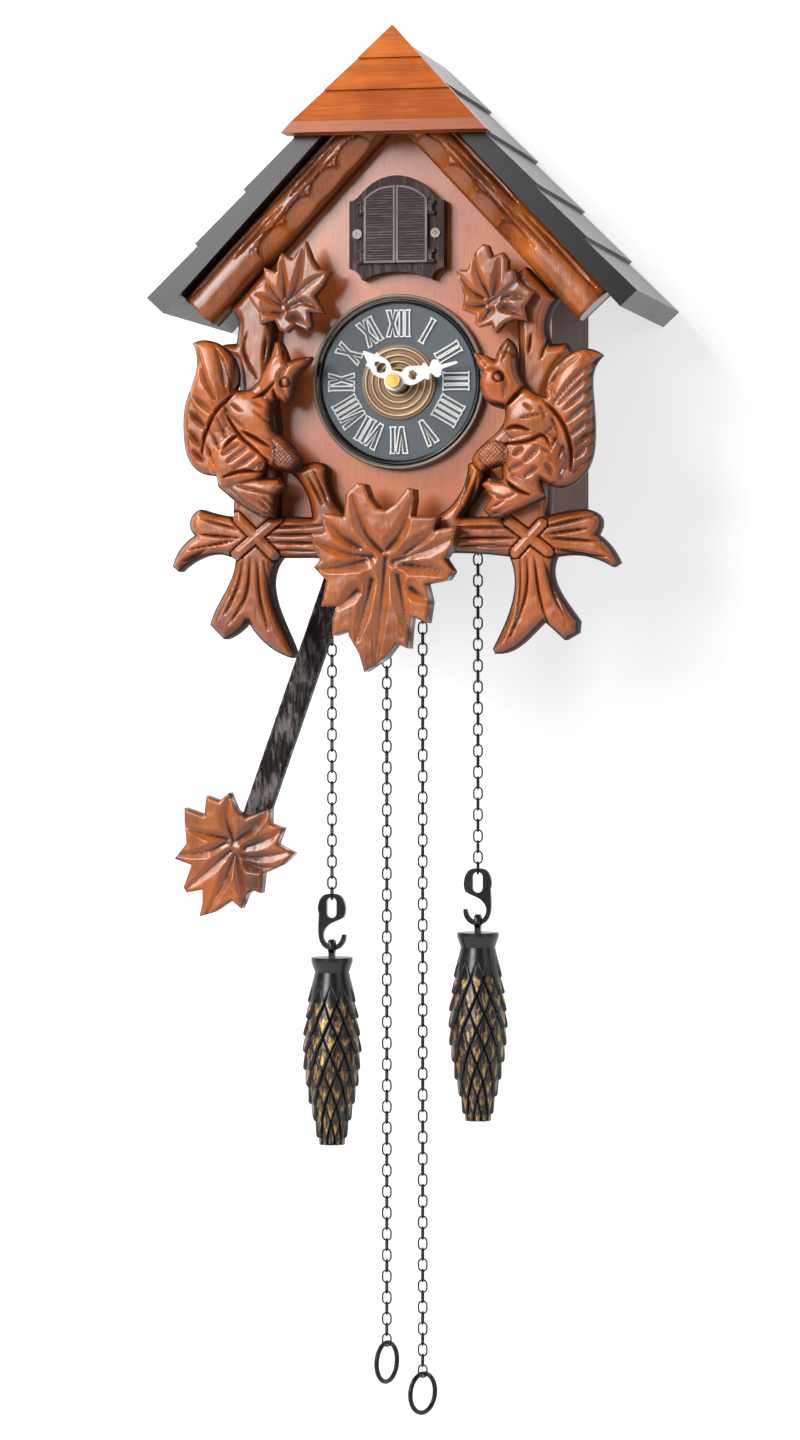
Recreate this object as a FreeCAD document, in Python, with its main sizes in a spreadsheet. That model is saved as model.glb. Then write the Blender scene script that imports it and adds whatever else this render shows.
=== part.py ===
import FreeCAD, Part
import math
import os
import re
import Sketcher
from FreeCAD import Placement, Rotation, Vector

# Chalet cuckoo clock. Millimetres, +X to the right, +Y into the wall, +Z up.
# The origin is the hanging hole in the back panel, on the wall plane (Y = 0).

doc = FreeCAD.newDocument("cuckoo_clock")
os.makedirs("parts", exist_ok=True)

# ---------------------------------------------------------------- driving sizes
SIZES = [
    ("board", 6, "thickness of the case boards"),
    ("back_board", 5, "thickness of the back panel"),
    ("case_width", 145, "outside width of the case"),
    ("case_depth", 116, "wall to the front face of the case"),
    ("case_drop", 171, "hanging hole to the underside of the case"),
    ("roof_slope", 47, "pitch of the roof in degrees"),
    ("roof_span", 110.4, "centre to the lower corner of a roof board"),
    ("eave_drop", 62.2, "hanging hole to the lower corner of a roof board"),
    ("roof_thick", 11, "roof board with its shingles"),
    ("roof_front", 142, "wall to the front edge of the roof"),
    ("roof_back_gap", 1, "wall to the back edge of the roof"),
    ("shingle_rows", 5, "rows of shingles on a slope"),
    ("shingle_step", 1.7, "height of a shingle's lower edge"),
    ("hip_overhang", 15.5, "front gable cap past the roof's front edge"),
    ("hip_lean", 6.4, "cap's ridge point behind the roof's front edge"),
    ("hip_fascia", 5.2, "front lip of the cap"),
    ("hip_foot", 20.9, "hanging hole up to the cap's lower edge"),
    ("hip_proud", 1.4, "cap above the shingles"),
    ("hip_rows", 3, "boards on the cap"),
    ("log_width", 19, "width of a gable log"),
    ("log_depth", 20, "depth of a gable log"),
    ("log_inset", 11, "eave to the log's sawn end, along the slope"),
    ("carve_thick", 16, "thickness of the branch carvings"),
    ("squirrel_thick", 12, "thickness of a squirrel"),
    ("small_leaf_thick", 8, "thickness of an upper leaf"),
    ("large_leaf_thick", 14, "thickness of the lower leaf"),
    ("dial_drop", 95, "hanging hole to the dial centre"),
    ("bezel_radius", 42, "outside radius of the dial bezel"),
    ("bezel_depth", 6, "height of the bezel off the case"),
    ("rim_radius", 40.2, "outside radius of the black rim"),
    ("plate_radius", 37.3, "radius of the dial plate"),
    ("plate_front", 3, "case face to the dial plate's face"),
    ("plate_thick", 3, "thickness of the dial plate"),
    ("disc_radius", 18, "radius of the ringed centre disc"),
    ("disc_thick", 1.3, "thickness of the centre disc"),
    ("numeral_inner", 21.6, "dial centre to a numeral's foot"),
    ("numeral_height", 12.6, "height of a numeral"),
    ("numeral_stroke", 0.95, "width of a numeral's stroke"),
    ("numeral_thick", 0.8, "thickness of a numeral"),
    ("hour_front", 11.8, "case face to the hour hand's front"),
    ("minute_front", 15.3, "case face to the minute hand's front"),
    ("hand_thick", 0.8, "thickness of a hand"),
    ("hour_length", 21.2, "centre to the hour hand's tip"),
    ("minute_length", 31.9, "centre to the minute hand's tip"),
    ("hour_angle", -47.5, "degrees of the hour hand from twelve"),
    ("minute_angle", 74.7, "degrees of the minute hand from twelve"),
    ("arbor_radius", 1.5, "minute arbor"),
    ("pipe_radius", 2.4, "outside of the hour hand's pipe"),
    ("bush_radius", 4.9, "outside of the movement's bush"),
    ("running_gap", 0.06, "radial clearance of a turning fit"),
    ("nut_radius", 3.4, "brass cap nut of the hands"),
    ("nut_height", 3, "height of the cap nut"),
    ("movement_side", 56, "width and height of the movement"),
    ("movement_front", 15, "case face to the movement's front"),
    ("movement_depth", 15.8, "depth of the movement"),
    ("cell_radius", 7.1, "battery cell radius"),
    ("cell_length", 50, "battery cell length"),
    ("knob_radius", 4.2, "setting knob"),
    ("pivot_drop", 79.4, "hanging hole to the pendulum pivot"),
    ("pendulum_y", 80, "wall to the pendulum rod's middle plane"),
    ("rod_width", 12.6, "width of the pendulum rod"),
    ("rod_thick", 7, "thickness of the pendulum rod"),
    ("rod_top", 8, "pivot to the rod's upper end"),
    ("rod_length", 236, "length of the pendulum rod"),
    ("swing_angle", 19.4, "rest angle of the pendulum"),
    ("leaf_thick", 9, "thickness of the pendulum leaf"),
    ("slot_half", 48, "half length of the pendulum slot"),
    ("slot_width", 15, "width of the pendulum slot"),
    ("chain_y", 105, "wall to the plane of the chains"),
    ("outer_chain_x", 35.8, "centre to a weight chain"),
    ("inner_chain_x", 8.8, "centre to a ring chain"),
    ("wheel_drop", 148, "hanging hole to the chain wheel axes"),
    ("wheel_flange", 15.5, "radius of a chain wheel's flange"),
    ("flange_thick", 1.2, "thickness of a flange"),
    ("groove", 5.4, "width of the wheel's groove"),
    ("spindle_radius", 2, "chain wheel spindle"),
    ("link_wire", 0.8, "chain wire diameter"),
    ("link_length", 6.75, "length of a link"),
    ("link_width", 4.9, "width of a link"),
    ("link_gap", 0.05, "play between two links"),
    ("ring_gap", 0.15, "play between a chain and its pull ring"),
    ("chain_top", 112, "hanging hole to the hidden chain ends"),
    ("left_hook_drop", 342.3, "hanging hole to the left hook's slot"),
    ("right_hook_drop", 329.4, "hanging hole to the right hook's slot"),
    ("left_ring_drop", 555.2, "hanging hole to the left ring's top"),
    ("right_ring_drop", 569.6, "hanging hole to the right ring's top"),
    ("hook_thick", 2.6, "thickness of a weight hook"),
    ("ring_radius", 9.35, "pull ring, to the wire's middle"),
    ("ring_wire", 2.3, "pull ring wire diameter"),
    ("left_ring_turn", 70, "degrees the left ring hangs from facing front"),
    ("right_ring_turn", 62, "degrees the right ring hangs from facing front"),
    ("eye_radius", 4.2, "outside of a weight's eye"),
    ("eye_hole", 2.2, "hole of a weight's eye"),
    ("eye_thick", 3.4, "thickness of a weight's eye"),
    ("door_front", 9, "case face to the bird house frame's face"),
    ("frame_half", 23, "half width of the bird house frame"),
    ("doorway_half", 14, "half width of the doorway"),
    ("doorway_foot", 37.4, "hanging hole to the doorway's sill"),
    ("doorway_head", 6.5, "hanging hole to the top of the doorway's sides"),
    ("pin_x", 17, "centre to a door's hinge pin"),
    ("pin_radius", 0.6, "door hinge pin"),
    ("pin_stand", 1.5, "frame face to the hinge pin's axis"),
    ("door_thick", 1.8, "thickness of a door"),
    ("door_foot", 38.7, "hanging hole to the doors' lower edge"),
    ("door_shoulder", 8, "hanging hole to the doors' outer shoulder"),
    ("door_crown", 1.8, "hanging hole to the doors' crown"),
    ("door_gap", 0.15, "half of the gap between the doors"),
    ("screw_drop", 24.6, "hanging hole to the frame's screws"),
    ("screw_x", 19, "centre to a frame screw"),
    ("shelf_drop", 43, "hanging hole to the top of the bird shelf"),
    ("shelf_thick", 4, "thickness of the bird shelf"),
    ("arm_half", 3, "half width of the bird's arm"),
    ("rear_half", 45, "half width of the service opening"),
    ("rear_head", 50, "hanging hole to the top of the service opening"),
    ("rear_foot", 150, "hanging hole to the foot of the service opening"),
    ("rear_gap", 0.4, "gap round the rear door"),
    ("hinge_gap", 1.5, "gap beside the rear door's hinge, so that it can open past square"),
    ("rear_pin", 1.2, "rear door's pivot pegs"),
    ("latch_radius", 3, "rear latch spindle"),
    ("keyhole_radius", 5, "hanging hole"),
    ("keyhole_slot", 2.5, "half width of the hanging slot"),
]

sheet = doc.addObject("Spreadsheet::Sheet", "Sizes")
for row, (alias, value, note) in enumerate(SIZES, start=1):
    sheet.set("A%d" % row, alias)
    sheet.set("B%d" % row, str(value))
    sheet.set("C%d" % row, note)
    sheet.setAlias("B%d" % row, alias)
doc.recompute()
ALIASES = {alias for alias, _, _ in SIZES}


class Values:
    """The sheet's cells as plain numbers, for what has no property to bind."""

    def __getattr__(self, name):
        return float(sheet.get(name))


S = Values()
WORD = re.compile(r"[a-z][a-z_]+")
PARTS = []


def formula(text):
    """Put the sheet's name before each of its aliases."""
    return WORD.sub(lambda m: "Sizes." + m.group() if m.group() in ALIASES else m.group(), str(text))


def bind(item, prop, text):
    item.setExpression(prop, formula(text))


def keep(item, label):
    """Give a finished piece its own name and put it on the list of parts."""
    item.Label = label
    PARTS.append(item)
    return item


# ---------------------------------------------------------------- sketch helpers
def new_body(name):
    return doc.addObject("PartDesign::Body", name + "_body")


def plane_of(body, role):
    return next(f for f in body.Origin.OriginFeatures if f.Role == role)


def new_sketch(body, role, offset="0"):
    """A sketch on one of the body's own planes, moved along its normal."""
    sketch = body.newObject("Sketcher::SketchObject", body.Name + "_sketch")
    sketch.AttachmentSupport = [(plane_of(body, role), "")]
    sketch.MapMode = "FlatFace"
    bind(sketch, "AttachmentOffset.Base.z", offset)
    return sketch


def fix(sketch, kind, geo, text, value=1.0):
    """A dimension from the sketch's origin to the start of a line."""
    index = sketch.addConstraint(Sketcher.Constraint(kind, -1, 1, geo, 1, value))
    sketch.setExpression("Constraints[%d]" % index, formula(text))


def polygon(sketch, corners):
    """A closed outline whose corners are formulas or numbers."""
    first = sketch.GeometryCount
    count = len(corners)
    spots = [Vector(10 * math.cos(6.283 * i / count), 10 * math.sin(6.283 * i / count), 0)
             for i in range(count)]
    numbers = all(not isinstance(value, str) for corner in corners for value in corner)
    if numbers:
        spots = [Vector(x, y, 0) for x, y in corners]
    for i in range(count):
        sketch.addGeometry(Part.LineSegment(spots[i], spots[(i + 1) % count]), False)
    for i in range(count):
        other = first + (i + 1) % count
        sketch.addConstraint(Sketcher.Constraint("Coincident", first + i, 2, other, 1))
    for i, (x, y) in enumerate(corners):
        fix(sketch, "DistanceX", first + i, x, spots[i].x)
        fix(sketch, "DistanceY", first + i, y, spots[i].y)


def rectangle(sketch, x0, x1, y0, y1):
    polygon(sketch, [(x0, y0), (x1, y0), (x1, y1), (x0, y1)])


def circle(sketch, x, y, radius):
    geo = sketch.addGeometry(Part.Circle(Vector(1, 1, 0), Vector(0, 0, 1), 1), False)
    for kind, text in (("DistanceX", x), ("DistanceY", y)):
        index = sketch.addConstraint(Sketcher.Constraint(kind, -1, 1, geo, 3, 1.0))
        sketch.setExpression("Constraints[%d]" % index, formula(text))
    index = sketch.addConstraint(Sketcher.Constraint("Radius", geo, 1.0))
    sketch.setExpression("Constraints[%d]" % index, formula(radius))


def pad(body, sketch, length, back=False, both=False):
    feature = body.newObject("PartDesign::Pad", body.Name + "_pad")
    feature.Profile = sketch
    feature.Reversed = back
    feature.Midplane = both
    bind(feature, "Length", length)
    return feature


def pocket(body, sketch, length, back=False, both=False):
    feature = body.newObject("PartDesign::Pocket", body.Name + "_pocket")
    feature.Profile = sketch
    feature.Reversed = back
    feature.Midplane = both
    bind(feature, "Length", length)
    return feature


# ---------------------------------------------------------------- solid helpers
def box(name, x0, x1, y0, y1, z0, z1):
    """A block given by the formulas of its six faces."""
    item = doc.addObject("Part::Box", name)
    bind(item, "Length", "(%s) - (%s)" % (x1, x0))
    bind(item, "Width", "(%s) - (%s)" % (y1, y0))
    bind(item, "Height", "(%s) - (%s)" % (z1, z0))
    bind(item, "Placement.Base.x", x0)
    bind(item, "Placement.Base.y", y0)
    bind(item, "Placement.Base.z", z0)
    return item


AXIS_TURN = {"x": Rotation(Vector(0, 1, 0), 90), "y": Rotation(Vector(1, 0, 0), -90), "z": Rotation()}


def rod(name, axis, radius, length, x, y, z, kind="Part::Cylinder"):
    """A cylinder that starts at (x, y, z) and runs towards +axis."""
    item = doc.addObject(kind, name)
    item.Placement = Placement(Vector(), AXIS_TURN[axis])
    bind(item, "Radius", radius)
    bind(item, "Height", length)
    bind(item, "Placement.Base.x", x)
    bind(item, "Placement.Base.y", y)
    bind(item, "Placement.Base.z", z)
    return item


def ball(name, radius, x, y, z):
    item = doc.addObject("Part::Sphere", name)
    bind(item, "Radius", radius)
    bind(item, "Placement.Base.x", x)
    bind(item, "Placement.Base.y", y)
    bind(item, "Placement.Base.z", z)
    return item


def fuse(name, items):
    item = doc.addObject("Part::MultiFuse", name)
    item.Shapes = items
    return item


def cut(name, base, tool):
    item = doc.addObject("Part::Cut", name)
    item.Base = base
    item.Tool = tool
    return item


def shape_of(name, shape):
    """A piece whose form has no feature of its own, set from Part's functions."""
    item = doc.addObject("Part::Feature", name)
    item.Shape = shape
    return item


def outline_wire(points, y):
    """A closed wire in the XZ plane. A point with a third value is a sharp corner;
    between two corners three or more points make one smooth curve."""
    corners = [i for i, point in enumerate(points) if len(point) > 2]
    vectors = [Vector(point[0], y, point[1]) for point in points]
    edges = []
    for number, start in enumerate(corners):
        end = corners[(number + 1) % len(corners)]
        span = (end - start) % len(points)
        run = [vectors[(start + i) % len(points)] for i in range(span + 1)]
        if len(run) == 2:
            edges.append(Part.LineSegment(run[0], run[1]).toShape())
        else:
            curve = Part.BSplineCurve()
            curve.interpolate(run)
            edges.append(curve.toShape())
    return Part.Wire(edges)


def sharp(points):
    return [(x, z, 1) for x, z in points]


def carving(label, points, back, thick):
    """A sawn blank: the outline from its back face forwards by its thickness."""
    face = Part.Face(outline_wire(points, -back))
    return keep(shape_of(label, face.extrude(Vector(0, -thick, 0))), label)


# ---------------------------------------------------------------- the case
HALF = "case_width / 2"
INNER = "(case_width / 2 - board)"
FRONT_IN = "(case_depth - board)"
TAN = "tan(roof_slope)"
RIDGE = "(roof_span * tan(roof_slope) - eave_drop)"


def under_roof(x):
    """Height of the roof's underside at distance x from the centre."""
    return "%s - (%s) * %s" % (RIDGE, x, TAN)


def make_side(label, sign):
    body = new_body(label)
    sketch = new_sketch(body, "XZ_Plane")
    outer = "%d * %s" % (sign, HALF)
    inner = "%d * %s" % (sign, INNER)
    polygon(sketch, [(inner, "-case_drop"), (outer, "-case_drop"), (outer, under_roof(HALF)),
                     (inner, under_roof(INNER))])
    pad(body, sketch, FRONT_IN)
    return keep(body, label)


def make_front():
    body = new_body("case_front")
    sketch = new_sketch(body, "XZ_Plane", "case_depth")
    polygon(sketch, [("-" + HALF, "-case_drop"), (HALF, "-case_drop"), (HALF, under_roof(HALF)),
                     ("0", RIDGE), ("-" + HALF, under_roof(HALF))])
    pad(body, sketch, "board", back=True)
    doorway = new_sketch(body, "XZ_Plane", "case_depth")
    rectangle(doorway, "-doorway_half", "doorway_half", "-doorway_foot", "-doorway_head")
    pocket(body, doorway, "board")
    hole = new_sketch(body, "XZ_Plane", "case_depth")
    circle(hole, "0", "-dial_drop", "bush_radius + 0.2")
    pocket(body, hole, "board")
    return keep(body, "case_front")


def make_bottom():
    body = new_body("case_bottom")
    sketch = new_sketch(body, "XY_Plane", "-case_drop")
    rectangle(sketch, "-" + INNER, INNER, "-" + FRONT_IN, "-back_board")
    pad(body, sketch, "board")
    slot = new_sketch(body, "XY_Plane", "-case_drop")
    rectangle(slot, "-slot_half", "slot_half", "-pendulum_y - slot_width / 2", "-pendulum_y + slot_width / 2")
    pocket(body, slot, "board", back=True)
    for x in ("-outer_chain_x", "-inner_chain_x", "inner_chain_x", "outer_chain_x"):
        hole = new_sketch(body, "XY_Plane", "-case_drop")
        circle(hole, x, "-chain_y", "link_width / 2 + 1.7")
        pocket(body, hole, "board", back=True)
    return keep(body, "case_bottom")


REAR_PIN_X = "(-rear_half + hinge_gap + back_board / 2)"


def make_back():
    """A framed back: a gabled top board with the hanging hole, two stiles and a bottom rail."""
    top = new_body("back_top")
    sketch = new_sketch(top, "XZ_Plane")
    polygon(sketch, [("-" + INNER, "-rear_head"), (INNER, "-rear_head"), (INNER, under_roof(INNER)),
                     ("0", RIDGE), ("-" + INNER, under_roof(INNER))])
    pad(top, sketch, "back_board")
    hole = new_sketch(top, "XZ_Plane")
    circle(hole, "0", "0", "keyhole_radius")
    pocket(top, hole, "2 * back_board", both=True)
    slot = new_sketch(top, "XZ_Plane")
    rectangle(slot, "-keyhole_slot", "keyhole_slot", "0", "2.2 * keyhole_radius")
    pocket(top, slot, "2 * back_board", both=True)
    peg = new_sketch(top, "XY_Plane", "-rear_head")
    circle(peg, REAR_PIN_X, "-back_board / 2", "rear_pin + running_gap")
    pocket(top, peg, "3.2", back=True)
    left = box("back_stile_left", "-" + INNER, "-rear_half", "-back_board", "0", "-rear_foot", "-rear_head")
    right = box("back_stile_right", "rear_half", INNER, "-back_board", "0", "-rear_foot", "-rear_head")
    rail = box("back_rail", "-" + INNER, INNER, "-back_board", "0", "board - case_drop", "-rear_foot")
    socket = rod("rail_socket", "z", "rear_pin + running_gap", "3.2", REAR_PIN_X, "-back_board / 2",
                 "-rear_foot - 3.2")
    boards = doc.addObject("Part::Compound", "back_boards")
    boards.Links = [top, left, right, cut("rail_cut", rail, socket)]
    return keep(boards, "back_panel")


def make_rear_door():
    edge = "(rear_half - rear_gap)"
    foot = "(-rear_foot + rear_gap)"
    head = "(-rear_head - rear_gap)"
    panel = box("rear_panel", REAR_PIN_X, edge, "-back_board", "0", foot, head)
    nose = rod("rear_nose", "z", "back_board / 2", "%s - %s" % (head, foot), REAR_PIN_X, "-back_board / 2", foot)
    pegs = rod("rear_pegs", "z", "rear_pin", "rear_foot - rear_head + 5", REAR_PIN_X, "-back_board / 2",
               "-rear_foot - 2.5")
    hole = rod("latch_hole", "y", "latch_radius + running_gap", "back_board + 2", "rear_half - 9",
               "-back_board - 1", "-dial_drop")
    return keep(cut("rear_door_cut", fuse("rear_leaf", [panel, nose, pegs]), hole), "rear_door")


def make_latch():
    spindle = rod("latch_spindle", "y", "latch_radius", "back_board + 2", "rear_half - 9", "-back_board - 2.3",
                  "-dial_drop")
    tongue = box("latch_tongue", "rear_half - 12.5", "rear_half - 5.5", "-back_board - 2.3", "-back_board - 0.3",
                 "-dial_drop - 3.5", "-dial_drop + 15")
    coin = box("latch_coin", "rear_half - 9.5", "rear_half - 8.5", "-1.5", "0.5", "-dial_drop - 3.5",
               "-dial_drop + 3.5")
    return keep(cut("latch_cut", fuse("latch_solid", [spindle, tongue]), coin), "rear_latch")


def make_case():
    make_side("case_left_side", -1)
    make_side("case_right_side", 1)
    make_front()
    make_bottom()
    make_back()
    make_rear_door()
    make_latch()


# ---------------------------------------------------------------- the roof
def roof_profile(sign):
    """Underside, sawn eave and stepped shingles of one slope, from the eave up."""
    slope = math.radians(S.roof_slope)
    along = Vector(-sign * math.cos(slope), math.sin(slope))
    out = Vector(sign * math.sin(slope), math.cos(slope))
    eave = Vector(sign * S.roof_span, -S.eave_drop)
    rows = int(S.shingle_rows)
    length = (S.roof_span + S.roof_thick * math.sin(slope)) / math.cos(slope)
    points = [eave, eave + out * S.roof_thick]
    for row in range(1, rows):
        reach = along * (length * row / rows)
        points.append(eave + reach + out * (S.roof_thick - S.shingle_step))
        points.append(eave + reach + out * S.roof_thick)
    low = eave + out * (S.roof_thick - S.shingle_step)
    points.append(low + along * (abs(low.x) / math.cos(slope)))
    points.append(eave + along * (S.roof_span / math.cos(slope)))
    return [(point.x, point.y) for point in points]


def hip_edge(inset):
    """Foot and top of the cap's sloping face in the YZ plane, moved in by inset."""
    crown = S.roof_span * math.tan(math.radians(S.roof_slope)) - S.eave_drop
    crown += S.roof_thick / math.cos(math.radians(S.roof_slope)) + S.hip_proud
    foot = (-S.roof_front - S.hip_overhang + inset, S.hip_foot + S.hip_fascia)
    top = (-S.roof_front + S.hip_lean + inset, crown)
    return foot, top


def make_roof(label, sign):
    body = new_body(label)
    sketch = new_sketch(body, "XZ_Plane", "roof_front")
    polygon(sketch, roof_profile(sign))
    pad(body, sketch, "roof_front - roof_back_gap", back=True)
    (y0, z0), (y1, z1) = hip_edge(HIP_SKIN)
    bevel = new_sketch(body, "YZ_Plane")
    polygon(bevel, [(y0, z0), (y1, z1), (y1 - 60.0, z1), (y0 - 60.0, z0)])
    pocket(body, bevel, "3 * roof_span", both=True)
    return keep(body, label)


HIP_SKIN = 5.0


def make_hip():
    """The cap: a wedge of three lapped boards, trimmed to the roof's two slopes."""
    body = new_body("roof_hip")
    (y0, z0), (y1, z1) = hip_edge(0)
    lap = 1.5
    rows = int(S.hip_rows)
    corners = [(y0, S.hip_foot), (y0, z0)]
    for row in range(1, rows):
        y = y0 + (y1 - y0) * row / rows
        z = z0 + (z1 - z0) * row / rows
        corners.append((y + lap, z))
        corners.append((y, z - 0.5))
    corners.append((y1, z1))
    (u0, v0), (u1, v1) = hip_edge(HIP_SKIN)
    corners.append((u1, v1))
    meet = v0 + (v1 - v0) * (-S.roof_front - u0) / (u1 - u0)
    corners.append((-S.roof_front, meet))
    corners.append((-S.roof_front, S.hip_foot))
    sketch = new_sketch(body, "YZ_Plane")
    polygon(sketch, corners)
    pad(body, sketch, "roof_span", both=True)
    slope = math.tan(math.radians(S.roof_slope))
    for sign in (-1, 1):
        trim = new_sketch(body, "XZ_Plane", "roof_front")
        reach = 90.0
        polygon(trim, [(0.0, z1), (sign * reach, z1 - reach * slope), (sign * reach, z1 + 20.0), (0.0, z1 + 20.0)])
        pocket(body, trim, "roof_front", both=True)
    return keep(body, "roof_hip")


def make_log(label, sign):
    """A round-faced log under the slope, sawn square at the eave and plumb at the peak."""
    slope = math.radians(S.roof_slope)
    along = Vector(-sign * math.cos(slope), math.sin(slope))
    into = Vector(-sign * math.sin(slope), -math.cos(slope))
    start = Vector(sign * S.roof_span, -S.eave_drop) + along * S.log_inset
    low = start + into * S.log_width
    peak = S.roof_span * math.tan(slope) - S.eave_drop
    corners = [(start.x, start.y), (low.x, low.y), (0.0, peak - S.log_width / math.cos(slope)), (0.0, peak)]
    body = new_body(label)
    sketch = new_sketch(body, "XZ_Plane", "case_depth")
    polygon(sketch, corners)
    solid = pad(body, sketch, "log_depth")
    doc.recompute()
    front = -S.case_depth - S.log_depth
    names = []
    for number, edge in enumerate(solid.Shape.Edges, start=1):
        ends = [v.Point for v in edge.Vertexes]
        forward = all(abs(p.y - front) < 0.01 for p in ends)
        if forward and edge.Length > 3 * S.log_width:
            names.append("Edge%d" % number)
    fillet = body.newObject("PartDesign::Fillet", label + "_round")
    fillet.Base = (solid, names)
    fillet.Radius = 0.45 * S.log_width
    return keep(body, label)


def make_roofs():
    make_roof("roof_left", -1)
    make_roof("roof_right", 1)
    make_hip()
    make_log("gable_log_left", -1)
    make_log("gable_log_right", 1)


# ---------------------------------------------------------------- the carvings
# Outlines are (x, z) from the hanging hole; a third value marks a sharp corner.
BRANCH_LEFT = [
    (-101, -163), (-100.5, -160), (-95.5, -155.5, 1), (-86.5, -158), (-79.5, -159, 1), (-77, -127), (-76, -101),
    (-78, -85, 1), (-84.5, -80, 1), (-84.5, -76.5, 1), (-78, -76, 1), (-77, -70), (-77.5, -64.5), (-81, -60, 1),
    (-65, -42.5, 1), (-59, -42.5, 1), (-58, -60), (-61, -84), (-57.5, -115), (-57.5, -141.5), (-58, -159, 1),
    (-41, -159.5, 1), (-43.5, -148.5), (-51.5, -138, 1), (-45, -134.5), (-37, -133.5), (-33.5, -136.5, 1),
    (-32.5, -146), (-24, -158.5, 1), (0, -160.5, 1), (0, -178.5, 1), (-36.5, -179), (-56.5, -179, 1),
    (-60.5, -187.5), (-59.5, -200), (-49.5, -225, 1), (-51, -227, 1), (-60.5, -222.5), (-72.5, -209, 1),
    (-79, -215.5), (-84, -218, 1), (-91, -211, 1), (-89.5, -206.5), (-80, -187.5), (-78.5, -179.5, 1),
    (-84.5, -177.5), (-106.5, -185.5, 1), (-109.5, -183, 1), (-106, -175), (-98.5, -168, 1),
]
BRANCH_RIGHT = [
    (0, -160.5, 1), (18.5, -160, 1), (28.5, -152.5), (34.5, -140), (35, -135, 1), (39, -133.5), (43.5, -136, 1),
    (43, -142), (38.5, -150), (32.5, -160, 1), (52, -159.5, 1), (56.5, -123.5), (59.5, -91), (58.5, -62),
    (57, -46, 1), (63, -41.5, 1), (78, -57, 1), (73.5, -65), (73, -73), (75, -78.5, 1), (82.5, -78, 1),
    (85, -83, 1), (77.5, -91.5), (72.5, -119), (73.5, -159.5, 1), (84.5, -157), (92, -156.5, 1), (98.5, -161),
    (97, -168.5, 1), (105, -177), (107.5, -182, 1), (104.5, -184, 1), (92, -179), (77, -179, 1), (75.5, -187),
    (81.5, -200.5), (88, -209.5, 1), (87.5, -215, 1), (81.5, -218.5, 1), (75.5, -213), (71.5, -209.5, 1),
    (65.5, -215.5), (54, -224), (48, -225, 1), (47, -222.5, 1), (54, -207.5), (57.5, -190), (55, -179, 1),
    (41.5, -177.5), (0, -178.5, 1),
]
SQUIRREL_LEFT = [
    (-97, -76.5, 1), (-90, -75), (-81, -79), (-75.5, -87), (-75.5, -98.5, 1), (-69, -98.5), (-62.5, -91.5),
    (-59, -84), (-56.5, -76.5, 1), (-54, -76, 1), (-51.5, -80), (-49.5, -86, 1), (-44, -84), (-38.5, -83.5, 1),
    (-41, -88), (-46, -93), (-47.5, -99), (-51, -106.5, 1), (-56, -104.5), (-58.5, -110.5), (-55.5, -120, 1),
    (-48, -126), (-43.5, -132.5, 1), (-46, -137), (-51, -138.5), (-60, -133.5, 1), (-62.5, -141, 1),
    (-54, -141, 1), (-51, -145.5, 1), (-56, -149.5, 1), (-57, -159.5, 1), (-62.5, -160, 1), (-76, -152),
    (-84.5, -145, 1), (-85, -140, 1), (-97.5, -134.5), (-101.5, -118), (-100, -103.5), (-94.5, -88),
    (-95, -81),
]
SQUIRREL_RIGHT = [
    (101.5, -84.5, 1), (96.5, -93), (96.5, -103), (97.5, -122), (94, -138), (85, -146), (72, -143, 1),
    (74.5, -151, 1), (62, -157), (54, -160.5, 1), (47.5, -160.5, 1), (44.5, -157, 1), (48, -151.5, 1),
    (43.5, -145, 1), (47, -142, 1), (53.5, -142.5, 1), (53, -136, 1), (43, -139, 1), (39, -133.5),
    (46, -124.5), (53.5, -117), (54.5, -109, 1), (50, -108.5), (44.5, -103), (44.5, -92.5, 1), (42.5, -90),
    (39.5, -82.5, 1), (44, -83.5), (50.5, -86.5, 1), (53, -79), (56, -76, 1), (59.5, -80), (61, -91.5),
    (68, -101.5), (74.5, -104, 1), (74.5, -96.5), (81.5, -87), (92, -81.5),
]
LEAF_TOP_LEFT = [
    (-41.5, -28.5), (-38, -37), (-35, -42), (-29.5, -43), (-33, -50), (-37, -54.5), (-32.5, -63), (-39.5, -62.5),
    (-38.5, -69), (-40.5, -71), (-46.5, -68), (-50.5, -72), (-54, -71), (-56.5, -66), (-63.5, -68),
    (-64, -62.5), (-69.5, -54.5), (-67, -52), (-62, -49), (-61.5, -41), (-55.5, -43), (-55.5, -39.5),
    (-53, -34), (-47.5, -37),
]
LEAF_TOP_RIGHT = [
    (31.5, -43.5), (37, -43.5), (41, -35), (44.5, -31.5), (47, -32), (49, -37.5), (54, -35.5), (56.5, -39),
    (56.5, -44), (59.5, -43.5), (61.5, -49), (69, -54.5), (64.5, -61.5), (65.5, -68), (59, -67.5), (55, -69),
    (50.5, -73.5), (48.5, -69), (42, -70.5), (40.5, -69), (41, -65), (34.5, -62.5), (35.5, -56), (32.5, -47.5),
]
LEAF_BOTTOM = [
    (-21.5, -160), (-20.5, -149.5), (-15, -144), (-11.5, -144.5), (-9, -151), (-5, -156), (-1, -157), (3, -154.5),
    (9.5, -146.5), (12, -147), (12.5, -152), (11, -160), (23.5, -160), (22.5, -166.5), (33, -164.5), (31, -174),
    (27, -180), (31, -186), (28.5, -190), (18, -192), (20, -200.5), (18.5, -210.5), (11, -207), (10, -215),
    (9.5, -222.5), (4, -220), (-1.5, -227), (-11.5, -233.5), (-14, -225), (-19, -216.5), (-19, -214),
    (-27, -216.5), (-27, -208.5), (-25, -202), (-32.5, -202.5), (-30.5, -193.5), (-30, -190), (-36, -184),
    (-33, -180.5), (-36, -175), (-37.5, -168), (-31, -167), (-32, -158.5), (-27, -158.5),
]
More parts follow.
